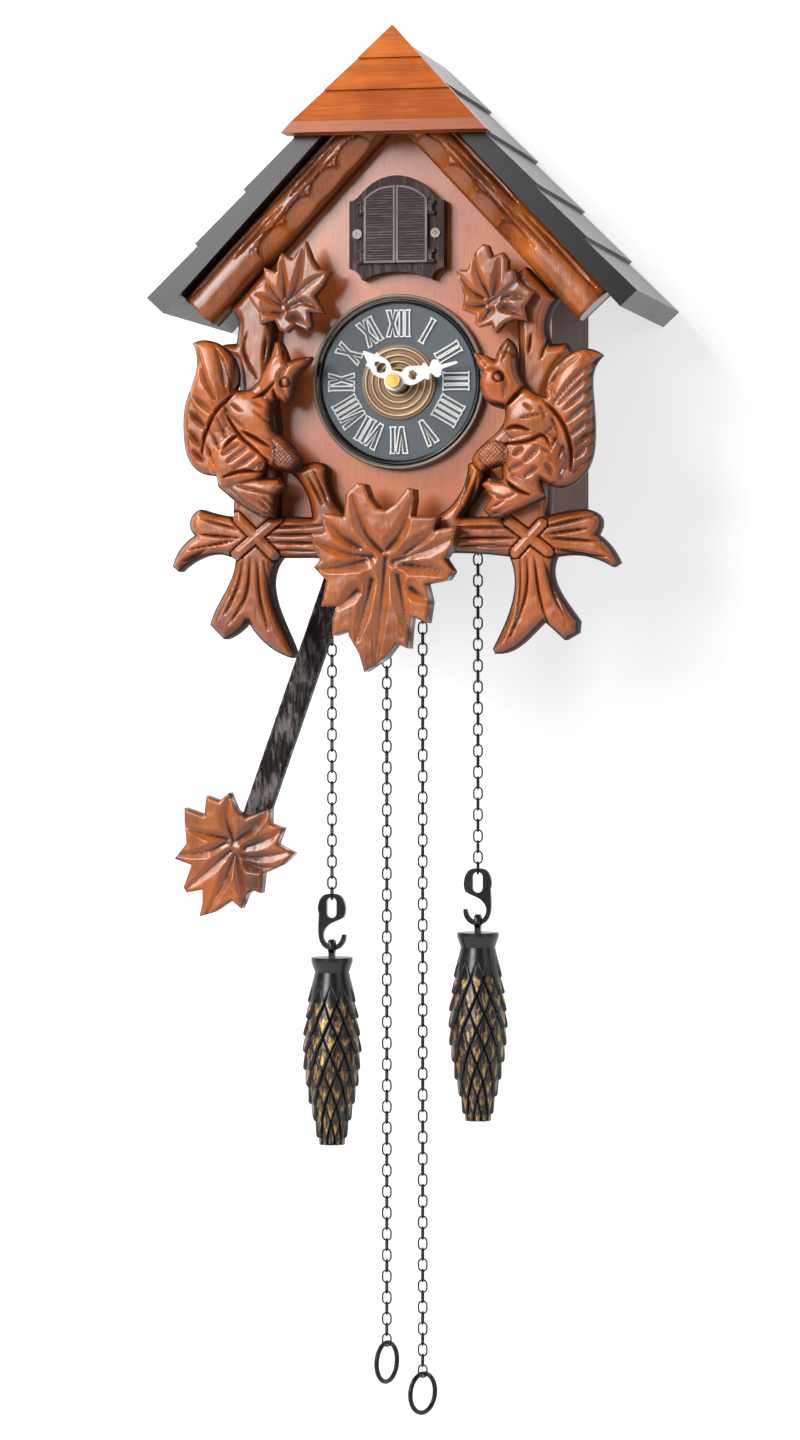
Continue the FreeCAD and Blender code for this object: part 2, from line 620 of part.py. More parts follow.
PENDULUM_LEAF = [
    (-101.5, -294), (-102.5, -303.5), (-112.5, -300), (-112.5, -306.5), (-111.5, -317.5), (-117.5, -325),
    (-109, -328), (-113, -339), (-111.5, -341.5), (-103.5, -340), (-103.5, -346.5), (-105, -353), (-98, -351),
    (-89, -345), (-84, -349), (-81, -342), (-78.5, -340), (-74, -341.5), (-73, -332), (-63.5, -327.5),
    (-57.5, -322), (-66, -317.5), (-63, -309.5), (-69.5, -307.5), (-69.5, -300.5), (-81.5, -304.5),
    (-86.5, -301), (-90, -292.5), (-95, -296.5),
]


def make_carvings():
    face = S.case_depth
    front = face + S.carve_thick
    carving("branch_left", BRANCH_LEFT, face, S.carve_thick)
    carving("branch_right", BRANCH_RIGHT, face, S.carve_thick)
    carving("squirrel_left", SQUIRREL_LEFT, front, S.squirrel_thick)
    carving("squirrel_right", SQUIRREL_RIGHT, front, S.squirrel_thick)
    carving("leaf_top_left", sharp(LEAF_TOP_LEFT), front, S.small_leaf_thick)
    carving("leaf_top_right", sharp(LEAF_TOP_RIGHT), front, S.small_leaf_thick)
    carving("leaf_bottom", sharp(LEAF_BOTTOM), front, S.large_leaf_thick)


# ---------------------------------------------------------------- dial and hands
def ring_body(label, outer, inner, front, back):
    """A flat ring about the dial centre, from case face + back to case face + front."""
    body = new_body(label)
    sketch = new_sketch(body, "XZ_Plane", "case_depth + %s" % back)
    circle(sketch, "0", "-dial_drop", outer)
    circle(sketch, "0", "-dial_drop", inner)
    pad(body, sketch, "(%s) - (%s)" % (front, back))
    return body


def stroke(start, end, width):
    """A flat bar with rounded ends between two points of the numeral's own plane."""
    run = Vector(end[0] - start[0], 0, end[1] - start[1])
    side = Vector(-run.z, 0, run.x).normalize() * (width / 2)
    a = Vector(start[0], 0, start[1])
    b = Vector(end[0], 0, end[1])
    corners = [a + side, b + side, b - side, a - side, a + side]
    bar = Part.Face(Part.makePolygon(corners)).extrude(Vector(0, -S.numeral_thick, 0))
    ends = [Part.makeCylinder(width / 2, S.numeral_thick, p, Vector(0, -1, 0)) for p in (a, b)]
    return [bar] + ends


GLYPH_WIDTH = {"I": 1.9, "V": 3.6, "X": 3.6}
NUMERALS = ["XII", "I", "II", "III", "IV", "V", "VI", "VII", "VIII", "IX", "X", "XI"]


def glyph(letter, x, tall, width):
    half = GLYPH_WIDTH[letter] / 2 - 0.4
    if letter == "I":
        lines = [((x, 0), (x, tall))]
    elif letter == "V":
        lines = [((x - half, tall), (x, 0)), ((x + half, tall), (x, 0))]
    else:
        lines = [((x - half, tall), (x + half, 0)), ((x + half, tall), (x - half, 0))]
    return [piece for start, end in lines for piece in stroke(start, end, width)]


def numeral(text):
    """One roman numeral with its head and foot bars, standing on its feet at the origin."""
    total = sum(GLYPH_WIDTH[letter] for letter in text)
    tall = S.numeral_height - S.numeral_stroke
    x = -total / 2
    solids = []
    for letter in text:
        solids += glyph(letter, x + GLYPH_WIDTH[letter] / 2, tall, S.numeral_stroke)
        x += GLYPH_WIDTH[letter]
    if len(text) > 1:
        for z in (0, tall):
            solids += stroke((-total / 2 + 0.5, z), (total / 2 - 0.5, z), 0.8 * S.numeral_stroke)
    return solids[0].multiFuse(solids[1:]).removeSplitter()


def make_numerals():
    placed = []
    y = -(S.case_depth + S.plate_front)
    for hour, text in enumerate(NUMERALS):
        shape = numeral(text)
        shape.translate(Vector(0, y, S.numeral_inner + S.numeral_stroke / 2))
        shape.rotate(Vector(0, 0, 0), Vector(0, 1, 0), 30 * hour)
        shape.translate(Vector(0, 0, -S.dial_drop))
        placed.append(shape)
    keep(shape_of("dial_numerals", Part.makeCompound(placed)), "dial_numerals")


def hand_face(upper, hole, windows):
    """A hand pointing up +Z in its own plane: mirrored outline, centre hole, cut windows."""
    lower = [(-x, z) for x, z in reversed(upper)]
    points = upper + lower
    wire = Part.makePolygon([Vector(x, 0, z) for x, z in points + points[:1]])
    face = Part.Face(wire)
    hub = Part.Face(Part.Wire(Part.makeCircle(4.8, Vector(), Vector(0, -1, 0))))
    solid = face.extrude(Vector(0, -S.hand_thick, 0)).fuse(hub.extrude(Vector(0, -S.hand_thick, 0)))
    solid = solid.cut(Part.makeCylinder(hole, S.hand_thick, Vector(), Vector(0, -1, 0)))
    for window in windows:
        shape = Part.makePolygon([Vector(x, 0, z) for x, z in window + window[:1]])
        solid = solid.cut(Part.Face(shape).extrude(Vector(0, -S.hand_thick, 0)))
    return solid.removeSplitter()


# Half outlines on the right of the hand's centre line, from the tip down to the hub.
MINUTE_EDGE = [(0.3, 31.9), (0.65, 31.3), (1.0, 24), (2.2, 23.2), (3.6, 22.7), (4.4, 21.3), (3.9, 19.9),
               (2.6, 19), (1.5, 18.2), (2.3, 17.2), (3.9, 16.8), (4.2, 15.8), (3.1, 14.7), (3.9, 12), (4.6, 9),
               (4.4, 7), (3.2, 5.2), (2.4, 3.4)]
MINUTE_WINDOWS = [[(0, 12.2), (1.1, 10.9), (2.4, 10.2), (2.1, 8.4), (0, 7.3), (-2.1, 8.4), (-2.4, 10.2), (-1.1, 10.9)]]
HOUR_EDGE = [(0.25, 21.2), (0.8, 20.4), (2.2, 17), (2.5, 16.2), (4.2, 15.9), (4.2, 14.9), (3.6, 14), (4.5, 11.6),
             (4.7, 9.6), (4.1, 7), (3, 5.2), (2.2, 3.6)]
HOUR_WINDOWS = [[(0, 13.6), (1.5, 12.4), (1.3, 11.6), (2.8, 9.6), (2.4, 8), (0, 6.6), (-2.4, 8), (-2.8, 9.6),
                 (-1.3, 11.6), (-1.5, 12.4)]]


def place_hand(label, solid, front, angle, length, drawn):
    """Stretch the drawn hand to its length, turn it to the time and set it on the dial."""
    if abs(length - drawn) > 1e-6:
        grow = FreeCAD.Matrix()
        grow.scale(1, 1, length / drawn)
        solid = solid.transformGeometry(grow)
    item = shape_of(label, solid)
    y = -(S.case_depth + front - S.hand_thick)
    item.Placement = Placement(Vector(0, y, -S.dial_drop), Rotation(Vector(0, 1, 0), angle))
    return item


def make_hands():
    minute = hand_face(MINUTE_EDGE, S.arbor_radius, MINUTE_WINDOWS)
    keep(place_hand("minute_hand", minute, S.minute_front, S.minute_angle, S.minute_length, 31.9), "minute_hand")
    bore = S.arbor_radius + S.running_gap
    hour = hand_face(HOUR_EDGE, bore, HOUR_WINDOWS)
    long_pipe = S.hour_front - S.hand_thick + S.board - 1
    pipe = Part.makeCylinder(S.pipe_radius, long_pipe, Vector(), Vector(0, 1, 0))
    pipe = pipe.cut(Part.makeCylinder(bore, long_pipe, Vector(), Vector(0, 1, 0)))
    keep(place_hand("hour_hand", hour.fuse(pipe), S.hour_front, S.hour_angle, S.hour_length, 21.2), "hour_hand")
    front = "(case_depth + minute_front)"
    arbor = rod("arbor_rod", "y", "arbor_radius", "%s + 2 - case_depth + movement_front" % front, "0",
                "-%s - 2" % front, "-dial_drop")
    keep(arbor, "minute_arbor")
    cap = rod("nut_turning", "y", "nut_radius", "nut_height", "0", "-%s - nut_height" % front, "-dial_drop")
    sink = rod("nut_bore", "y", "arbor_radius", "2", "0", "-%s - 2" % front, "-dial_drop")
    keep(cut("nut_cut", cap, sink), "hand_nut")


def make_dial():
    keep(ring_body("dial_bezel", "bezel_radius", "rim_radius", "bezel_depth", "0"), "dial_bezel")
    keep(ring_body("dial_rim", "rim_radius", "plate_radius", "bezel_depth - 1", "0"), "dial_rim")
    keep(ring_body("dial_plate", "plate_radius", "bush_radius + 0.1", "plate_front", "plate_front - plate_thick"),
         "dial_plate")
    keep(ring_body("dial_centre", "disc_radius", "bush_radius + 0.1", "plate_front + disc_thick", "plate_front"),
         "dial_centre")
    make_numerals()
    make_hands()


# ---------------------------------------------------------------- the movement
MOVE_FRONT = "(case_depth - movement_front)"
MOVE_BACK = "(case_depth - movement_front - movement_depth)"


def make_movement():
    half = "(movement_side / 2)"
    body = new_body("movement_case")
    sketch = new_sketch(body, "XZ_Plane", MOVE_BACK)
    rectangle(sketch, "-" + half, half, "-dial_drop - %s" % half, "-dial_drop + %s" % half)
    pad(body, sketch, "movement_depth")
    boss = new_sketch(body, "XZ_Plane", MOVE_FRONT)
    circle(boss, "0", "-dial_drop", "bush_radius + 0.9")
    pad(body, boss, "movement_front - board")
    bore = new_sketch(body, "XZ_Plane", MOVE_BACK)
    circle(bore, "0", "-dial_drop", "arbor_radius + running_gap")
    pocket(body, bore, "movement_depth + movement_front", back=True)
    bay = new_sketch(body, "XZ_Plane", MOVE_BACK)
    low = "-dial_drop - %s + 1.2" % half
    rectangle(bay, "-cell_length / 2 - 0.5", "cell_length / 2 + 0.5", low, low + " + 2 * cell_radius + 0.3")
    pocket(body, bay, "movement_depth - 0.8", back=True)
    shaft = new_sketch(body, "XZ_Plane", MOVE_BACK)
    circle(shaft, "0.37 * movement_side", "-dial_drop + 0.37 * movement_side", "1.5 + running_gap")
    pocket(body, shaft, "movement_depth - 3", back=True)
    keep(body, "movement_case")
    bush = rod("bush_turning", "y", "bush_radius", "board + plate_front + 2.5", "0",
               "-case_depth - plate_front - 2.5", "-dial_drop")
    bore = rod("bush_bore", "y", "pipe_radius + running_gap", "board + plate_front + 3.5", "0",
               "-case_depth - plate_front - 3", "-dial_drop")
    keep(cut("bush_cut", bush, bore), "movement_bush")
    x = "0.37 * movement_side"
    z = "-dial_drop + 0.37 * movement_side"
    head = rod("knob_head", "y", "knob_radius", "5", x, "-%s + 0.4" % MOVE_BACK, z)
    stem = rod("knob_stem", "y", "1.5", "6", x, "-%s - 5.4" % MOVE_BACK, z)
    keep(fuse("knob_solid", [head, stem]), "setting_knob")
    cell = rod("cell_can", "x", "cell_radius", "cell_length - 1.6", "-cell_length / 2", "-%s - cell_radius - 0.2" % MOVE_BACK,
               low + " + cell_radius + 0.1")
    cap = rod("cell_cap", "x", "2.7", "1.6", "cell_length / 2 - 1.6", "-%s - cell_radius - 0.2" % MOVE_BACK,
              low + " + cell_radius + 0.1")
    keep(fuse("cell_solid", [cell, cap]), "battery_cell")


def make_sound():
    """Loudspeaker on the left side, sound board on the right side, inside the case."""
    wall = "-%s" % INNER
    can = rod("speaker_basket", "x", "18", "9", wall, "-50", "-dial_drop - 10")
    magnet = rod("speaker_magnet", "x", "9", "8", wall + " + 9", "-50", "-dial_drop - 10")
    keep(fuse("speaker_solid", [can, magnet]), "speaker")
    board = box("sound_card", INNER + " - 5.6", INNER + " - 4", "-72", "-32", "-dial_drop - 30", "-dial_drop + 8")
    pieces = [board]
    for y, z in ((-68, -27), (-36, -27), (-68, 5), (-36, 5)):
        pieces.append(rod("sound_post", "x", "2", "4", INNER + " - 4", y, "-dial_drop + %d" % z))
    for y, z, wide in ((-60, -20, 12), (-48, -2, 8)):
        pieces.append(box("sound_chip", INNER + " - 7.6", INNER + " - 5.6", y, y + wide, "-dial_drop + %d" % z,
                          "-dial_drop + %d" % (z + 8)))
    keep(fuse("sound_solid", pieces), "sound_board")


# ---------------------------------------------------------------- the pendulum
def make_pendulum():
    """Rod, hanger and leaf share the rest angle about the pivot."""
    arbor = rod("pivot_pin", "y", "1.2", "%s - pendulum_y + rod_thick / 2 + 4" % MOVE_BACK, "0", "-" + MOVE_BACK,
                "-pivot_drop")
    keep(arbor, "pendulum_arbor")
    turn = Rotation(Vector(0, 1, 0), S.swing_angle)
    pivot = Placement(Vector(0, -S.pendulum_y, -S.pivot_drop), turn)

    body = new_body("pendulum_rod")
    sketch = new_sketch(body, "XZ_Plane", "-rod_thick / 2")
    rectangle(sketch, "-rod_width / 2", "rod_width / 2", "-rod_top - rod_length", "-rod_top")
    pad(body, sketch, "rod_thick")
    eye = new_sketch(body, "XZ_Plane", "-rod_thick / 2")
    circle(eye, "0", "-rod_top - 7", "1.1")
    pocket(body, eye, "rod_thick", back=True)
    body.Placement = pivot
    keep(body, "pendulum_rod")

    strip = new_body("pendulum_hanger")
    sketch = new_sketch(strip, "XZ_Plane", "-rod_thick / 2 - 1.3")
    rectangle(sketch, "-3.5", "3.5", "-rod_top - 11", "3.5")
    pad(strip, sketch, "1.2")
    eye = new_sketch(strip, "XZ_Plane", "-rod_thick / 2 - 1.3")
    circle(eye, "0", "0", "1.2 + running_gap")
    pocket(strip, eye, "1.2", back=True)
    stud = new_sketch(strip, "XZ_Plane", "-rod_thick / 2 - 0.1")
    circle(stud, "0", "-rod_top - 7", "1")
    pad(strip, stud, "rod_thick - 1")
    strip.Placement = pivot
    keep(strip, "pendulum_hanger")

    back = S.pendulum_y + S.rod_thick / 2
    carving("pendulum_leaf", sharp(PENDULUM_LEAF), back, S.leaf_thick)


# ---------------------------------------------------------------- chains and weights
def link_shape():
    """One oval link standing in the XZ plane, centred on the origin."""
    radius = S.link_wire / 2
    bend = S.link_width / 2 - radius
    half = S.link_length / 2 - radius - bend
    upper = Part.Arc(Vector(-bend, 0, half), Vector(0, 0, half + bend), Vector(bend, 0, half)).toShape()
    lower = Part.Arc(Vector(bend, 0, -half), Vector(0, 0, -half - bend), Vector(-bend, 0, -half)).toShape()
    right = Part.LineSegment(Vector(bend, 0, half), Vector(bend, 0, -half)).toShape()
    left = Part.LineSegment(Vector(-bend, 0, -half), Vector(-bend, 0, half)).toShape()
    path = Part.Wire([upper, right, lower, left])
    section = Part.Wire(Part.makeCircle(radius, Vector(-bend, 0, half), Vector(0, 0, 1)))
    return path.makePipeShell([section], True, False)


def chain(label, x, low, turned):
    """Links from the lowest one's lower end up to the hidden end above the case floor."""
    pitch = S.link_length - 2 * S.link_wire - S.link_gap
    count = int((-S.chain_top - low) // pitch)
    model = link_shape()
    links = []
    for number in range(count):
        link = model.copy()
        if (number + turned) % 2:
            link.rotate(Vector(0, 0, 0), Vector(0, 0, 1), 90)
        link.translate(Vector(x, -S.chain_y, low + S.link_length / 2 + number * pitch))
        links.append(link)
    print(label, count, "links")
    keep(shape_of(label, Part.makeCompound(links)), label)


# Right-hand and left-hand edges of the moulded hook, down from the top of its slot.
HOOK_OUTLINE = [(0, 1.7), (4.0, 0.9), (5.9, -1.6), (5.8, -9.6, 1), (3.2, -11), (-1.6, -13.4), (-4.2, -18),
                (-2.9, -21.8), (0, -23.3), (3.4, -22), (4.9, -19), (5.2, -17.9, 1), (6.9, -17.9, 1), (6.6, -21),
                (4.4, -24.2), (0, -25.6), (-4.6, -23.2), (-6.4, -18), (-6.2, -8, 1), (-5.9, -1.6), (-4.0, 0.9)]


def make_hook(label, x, drop, sign):
    points = [(x + sign * p[0], p[1] - drop) + tuple(p[2:]) for p in HOOK_OUTLINE]
    y = -S.chain_y + S.hook_thick / 2
    solid = Part.Face(outline_wire(points, y)).extrude(Vector(0, -S.hook_thick, 0))
    slot_half = 2.5
    for z in (-slot_half, -7.5):
        solid = solid.cut(Part.makeCylinder(slot_half, S.hook_thick, Vector(x, y, z - drop), Vector(0, -1, 0)))
    solid = solid.cut(Part.makeBox(2 * slot_half, S.hook_thick, 5.0,
                                   Vector(x - slot_half, y - S.hook_thick, -7.5 - drop)))
    keep(shape_of(label, solid), label)


EYE_DROP = 24.45
CONE_PROFILE = [(10, -29), (10, -31), (8.3, -36), (9.2, -40), (11.0, -46), (12.3, -54), (13.6, -63), (14.3, -72),
                (14.0, -80), (13.1, -88), (11.3, -98), (9.2, -107), (7.4, -115), (6.6, -119.2)]


def make_weight(label, x, drop):
    """The cone is turned; its cap carries the eye that hangs in the hook."""
    points = [Vector(x, -S.chain_y, CONE_PROFILE[0][1] - drop)]
    points += [Vector(x + r, -S.chain_y, z - drop) for r, z in CONE_PROFILE]
    points.append(Vector(x, -S.chain_y, CONE_PROFILE[-1][1] - drop))
    flat = Part.Face(Part.makePolygon(points + points[:1]))
    cone = flat.revolve(Vector(x, -S.chain_y, 0), Vector(0, 0, 1), 360)
    left = x - S.eye_thick / 2
    z = -EYE_DROP - drop
    eye = Part.makeCylinder(S.eye_radius, S.eye_thick, Vector(left, -S.chain_y, z), Vector(1, 0, 0))
    post = Part.makeBox(S.eye_thick, 2 * S.eye_radius, 5, Vector(left, -S.chain_y - S.eye_radius, z - 5))
    hole = Part.makeCylinder(S.eye_hole, S.eye_thick, Vector(left, -S.chain_y, z), Vector(1, 0, 0))
    keep(shape_of(label, cone.fuse([eye, post]).cut(hole).removeSplitter()), label)


def make_pull_ring(label, x, drop, turn):
    ring = Part.makeTorus(S.ring_radius, S.ring_wire / 2, Vector(), Vector(0, 1, 0))
    item = shape_of(label, ring)
    z = -drop - S.ring_radius - S.ring_wire / 2
    item.Placement = Placement(Vector(x, -S.chain_y, z), Rotation(Vector(0, 0, 1), turn))
    keep(item, label)


def make_wheel(label, x):
    """Two flanges and a grooved core on one hub."""
    y = "-chain_y - groove / 2 - flange_thick"
    wide = "groove + 2 * flange_thick"
    z = "-wheel_drop"
    core_radius = "outer_chain_x / 2 - inner_chain_x / 2 - link_width / 2 - 0.3"
    front = rod("wheel_front", "y", "wheel_flange", "flange_thick", x, y, z)
    back = rod("wheel_back", "y", "wheel_flange", "flange_thick", x, "-chain_y + groove / 2", z)
    core = rod("wheel_core", "y", core_radius, wide, x, y, z)
    bore = rod("wheel_bore", "y", "spindle_radius + running_gap", wide + " + 2", x, y + " - 1", z)
    keep(cut("wheel_cut", fuse("wheel_solid", [front, core, back]), bore), label)


def make_chains():
    middle = "(outer_chain_x + inner_chain_x) / 2"
    gap = "(groove / 2 + flange_thick + 0.5)"
    plate = box("bracket_plate", "-" + middle + " - 17", middle + " + 17", "-chain_y + %s" % gap,
                "-chain_y + %s + 1.5" % gap, "board - case_drop", "-wheel_drop + 12")
    pieces = [plate]
    for x in ("-" + middle, middle):
        pieces.append(rod("bracket_spindle", "y", "spindle_radius", FRONT_IN + " - chain_y + " + gap, x,
                          "-" + FRONT_IN, "-wheel_drop"))
    keep(fuse("bracket_solid", pieces), "chain_bracket")
    make_wheel("chain_wheel_left", "-" + middle)
    make_wheel("chain_wheel_right", middle)
    corner = S.link_width / 2 - S.link_wire
    rise = corner - math.sqrt(corner ** 2 - (S.hook_thick / 2) ** 2)
    hook_hold = S.link_wire + S.link_gap + rise
    ring_hold = S.ring_wire + S.link_wire + S.ring_gap
    chain("weight_chain_left", -S.outer_chain_x, -S.left_hook_drop - hook_hold, 1)
    chain("weight_chain_right", S.outer_chain_x, -S.right_hook_drop - hook_hold, 1)
    chain("ring_chain_left", -S.inner_chain_x, -S.left_ring_drop - ring_hold, 0)
    chain("ring_chain_right", S.inner_chain_x, -S.right_ring_drop - ring_hold, 0)
    make_hook("weight_hook_left", -S.outer_chain_x, S.left_hook_drop, 1)
    make_hook("weight_hook_right", S.outer_chain_x, S.right_hook_drop, -1)
    make_weight("cone_weight_left", -S.outer_chain_x, S.left_hook_drop)
    make_weight("cone_weight_right", S.outer_chain_x, S.right_hook_drop)
    make_pull_ring("pull_ring_left", -S.inner_chain_x, S.left_ring_drop, S.left_ring_turn)
    make_pull_ring("pull_ring_right", S.inner_chain_x, S.right_ring_drop, S.right_ring_turn)


# ---------------------------------------------------------------- bird house and bird
FRAME_UPPER = [(23, -8.8, 1), (20.6, -8.2), (17, -5), (10.5, 0.4), (0, 3.2), (-10.5, 0.4), (-17, -5), (-20.6, -8.2),
               (-23, -8.8, 1)]
FRAME_LOWER = [(-23, -41, 1), (-20, -42), (-17, -46.5, 1), (-9, -43.6), (0, -42.6), (9, -43.6), (17, -46.5, 1),
               (20, -42), (23, -41, 1)]
HINGE_LEVELS = (-12.5, -35.5)


def make_frame():
    grow = S.frame_half / 23
    points = [(p[0] * grow, p[1]) + tuple(p[2:]) for p in FRAME_UPPER + FRAME_LOWER]
    solid = Part.Face(outline_wire(points, -S.case_depth)).extrude(Vector(0, -S.door_front, 0))
    wide = 2 * S.doorway_half
    tall = S.doorway_foot - S.doorway_head
    hole = Part.makeBox(wide, S.door_front, tall,
                        Vector(-S.doorway_half, -S.case_depth - S.door_front, -S.doorway_foot))
    solid = solid.cut(hole)
    face = -S.case_depth - S.door_front
    lugs = []
    for sign in (-1, 1):
        for level in HINGE_LEVELS:
            for z in (level - 3.3, level + 1.7):
                left = min(sign * (S.pin_x - 1.1), sign * (S.pin_x + 1.8))
                lugs.append(Part.makeBox(2.9, 2.6, 1.6, Vector(left, face - 2.6, z)))
    solid = solid.fuse(lugs)
    for sign in (-1, 1):
        for level in HINGE_LEVELS:
            solid = solid.cut(Part.makeCylinder(S.pin_radius, 6.6, Vector(sign * S.pin_x, face - S.pin_stand,
                                                                       level - 3.3)))
        solid = solid.cut(Part.makeCylinder(1.2, S.door_front, Vector(sign * S.screw_x, face, -S.screw_drop),
                                            Vector(0, 1, 0)))
    keep(shape_of("door_frame", solid.removeSplitter()), "door_frame")
    pins = [Part.makeCylinder(S.pin_radius, 6.6, Vector(sign * S.pin_x, face - S.pin_stand, level - 3.3))
            for sign in (-1, 1) for level in HINGE_LEVELS]
    keep(shape_of("door_hinge_pins", Part.makeCompound(pins)), "door_hinge_pins")


def make_door(label, sign):
    """A shutter with an arched head, round ears on its pins and a thin border."""
    face = -S.case_depth - S.door_front - S.pin_stand
    inner = S.door_gap
    outer = S.pin_x - 1.6
    points = [(sign * inner, -S.door_foot, 1), (sign * outer, -S.door_foot, 1), (sign * outer, -S.door_shoulder, 1),
              (sign * 0.62 * outer, -S.door_shoulder + 4.4), (sign * inner, -S.door_crown, 1)]
    solid = Part.Face(outline_wire(points, face + S.door_thick / 2)).extrude(Vector(0, -S.door_thick, 0))
    ears = []
    for level in HINGE_LEVELS:
        ears.append(Part.makeCylinder(1.05, 3, Vector(sign * S.pin_x, face, level - 1.5)))
        left = min(sign * (S.pin_x - 2), sign * S.pin_x)
        ears.append(Part.makeBox(2, 1.2, 3, Vector(left, face - 0.6, level - 1.5)))
    solid = solid.fuse(ears)
    for level in HINGE_LEVELS:
        solid = solid.cut(Part.makeCylinder(S.pin_radius + S.running_gap, 3, Vector(sign * S.pin_x, face, level - 1.5)))
    keep(shape_of(label, solid.removeSplitter()), label)


def make_screws():
    """Two round-headed cross screws that hold the frame to the case."""
    face = -S.case_depth - S.door_front
    solids = []
    for sign in (-1, 1):
        x = sign * S.screw_x
        head = Part.makeCylinder(2.3, 1.0, Vector(x, face - 1.0, -S.screw_drop), Vector(0, 1, 0))
        shank = Part.makeCylinder(1.15, S.door_front, Vector(x, face, -S.screw_drop), Vector(0, 1, 0))
        screw = head.fuse(shank)
        for size in ((2.6, 0.5), (0.5, 2.6)):
            corner = Vector(x - size[0] / 2, face - 1.0, -S.screw_drop - size[1] / 2)
            screw = screw.cut(Part.makeBox(size[0], 0.5, size[1], corner))
        solids.append(screw)
    keep(shape_of("door_screws", Part.makeCompound(solids)), "door_screws")


def make_bird_house():
    make_frame()
    make_door("door_left", -1)
    make_door("door_right", 1)
    make_screws()
    keep(box("shelf_board", "-" + INNER, INNER, "-" + FRONT_IN, "-45", "-shelf_drop - shelf_thick", "-shelf_drop"),
         "bird_shelf")
    block = box("drive_block", "-12", "12", "-84", "-50", "-shelf_drop", "-33.8")
    channel = box("drive_channel", "-arm_half - 0.3", "arm_half + 0.3", "-85", "-49", "-37", "-33")
    keep(cut("drive_cut", block, channel), "bird_drive")
    arm = box("carriage_arm", "-arm_half", "arm_half", "-100", "-52", "-36.7", "-34")
    post = rod("carriage_post", "z", "1.5", "8", "0", "-95", "-34.5")
    keep(fuse("carriage_solid", [arm, post]), "bird_carriage")
    make_bird()


def make_bird():
    """The small painted bird on its perch, beak forwards."""
    half_oval = Part.Ellipse(Vector(0, 0, 0), 10.8, 7.0).toShape(0, math.pi)
    axis_line = Part.makeLine(Vector(-10.8, 0, 0), Vector(10.8, 0, 0))
    trunk = Part.Face(Part.Wire([half_oval, axis_line])).revolve(Vector(), Vector(1, 0, 0), 360)
    lean = Rotation(Vector(1, 0, 0), -22).multiply(Rotation(Vector(0, 0, 1), 90))
    trunk.Placement = Placement(Vector(0, -95, -21), lean)
    head = Part.makeSphere(4.9, Vector(0, -104.2, -13.8))
    beak = Part.makeCone(1.7, 0.2, 5, Vector(0, -108.2, -13.6), Vector(0, -1, 0.08))
    tail = Part.makeBox(5, 13, 1.8, Vector(-2.5, -88, -27.5))
    solid = trunk.fuse([head, beak, tail])
    perch = Part.makeCylinder(1.5, 8, Vector(0, -95, -34.5))
    keep(shape_of("bird", solid.cut(perch).removeSplitter()), "bird")


# ---------------------------------------------------------------- build and write
def main():
    make_case()
    make_roofs()
    make_carvings()
    make_dial()
    make_movement()
    make_sound()
    make_pendulum()
    make_chains()
    make_bird_house()
    doc.recompute()
    bad = [item.Name for item in doc.Objects if "Invalid" in item.State or "Error" in item.State]
    if bad:
        raise SystemExit("failed objects: %s" % bad)
    for item in PARTS:
        if item.Shape.isNull() or not item.Shape.isValid():
            raise SystemExit("bad shape: %s" % item.Label)
    for item in PARTS:
        item.Shape.exportStep(os.path.join("parts", item.Label + ".step"))
        bounds = item.Shape.BoundBox
        print("%-18s solids %3d volume %10.1f  x %7.1f %7.1f  y %7.1f %7.1f  z %7.1f %7.1f" % (
            item.Label, len(item.Shape.Solids), item.Shape.Volume, bounds.XMin, bounds.XMax, bounds.YMin,
            bounds.YMax, bounds.ZMin, bounds.ZMax))
    print(len(PARTS), "parts")


main()
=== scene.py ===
# %% [markdown]
# # A chalet cuckoo clock
# The frame is the clock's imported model: sixty rigid nodes, grouped in the bodies that move together.
# Everything below either finishes one of those nodes or puts a carved, turned or moulded piece in its place.
# The model's own box is kept first, because no piece may make the clock bigger than it is.

# %% Load the frame
import math

import bmesh
import bpy
import numpy as np
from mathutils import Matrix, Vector
from mathutils.kdtree import KDTree
from mathutils.geometry import delaunay_2d_cdt


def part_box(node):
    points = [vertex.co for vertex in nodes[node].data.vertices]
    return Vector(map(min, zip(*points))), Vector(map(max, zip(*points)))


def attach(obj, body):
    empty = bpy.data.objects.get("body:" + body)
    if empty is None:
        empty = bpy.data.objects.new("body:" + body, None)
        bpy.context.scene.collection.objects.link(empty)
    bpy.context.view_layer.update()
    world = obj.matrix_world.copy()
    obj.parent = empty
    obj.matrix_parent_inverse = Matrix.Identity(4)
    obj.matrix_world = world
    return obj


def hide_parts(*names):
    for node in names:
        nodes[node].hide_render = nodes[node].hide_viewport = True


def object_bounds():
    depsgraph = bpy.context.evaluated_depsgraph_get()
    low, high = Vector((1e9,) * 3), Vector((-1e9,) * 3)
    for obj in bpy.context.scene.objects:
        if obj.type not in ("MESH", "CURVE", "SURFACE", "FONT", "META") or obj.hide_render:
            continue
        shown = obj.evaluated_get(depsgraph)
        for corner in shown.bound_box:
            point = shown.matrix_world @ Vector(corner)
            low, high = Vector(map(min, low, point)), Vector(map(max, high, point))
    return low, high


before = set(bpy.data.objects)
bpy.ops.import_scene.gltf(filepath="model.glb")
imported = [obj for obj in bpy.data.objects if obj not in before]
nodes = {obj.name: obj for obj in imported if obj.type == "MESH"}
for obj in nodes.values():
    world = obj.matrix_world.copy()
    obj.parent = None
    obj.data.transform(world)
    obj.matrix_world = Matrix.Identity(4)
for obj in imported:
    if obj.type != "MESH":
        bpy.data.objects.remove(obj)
cad_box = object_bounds()
print(len(nodes), "nodes,", "height", round((cad_box[1] - cad_box[0]).z, 3), "m")

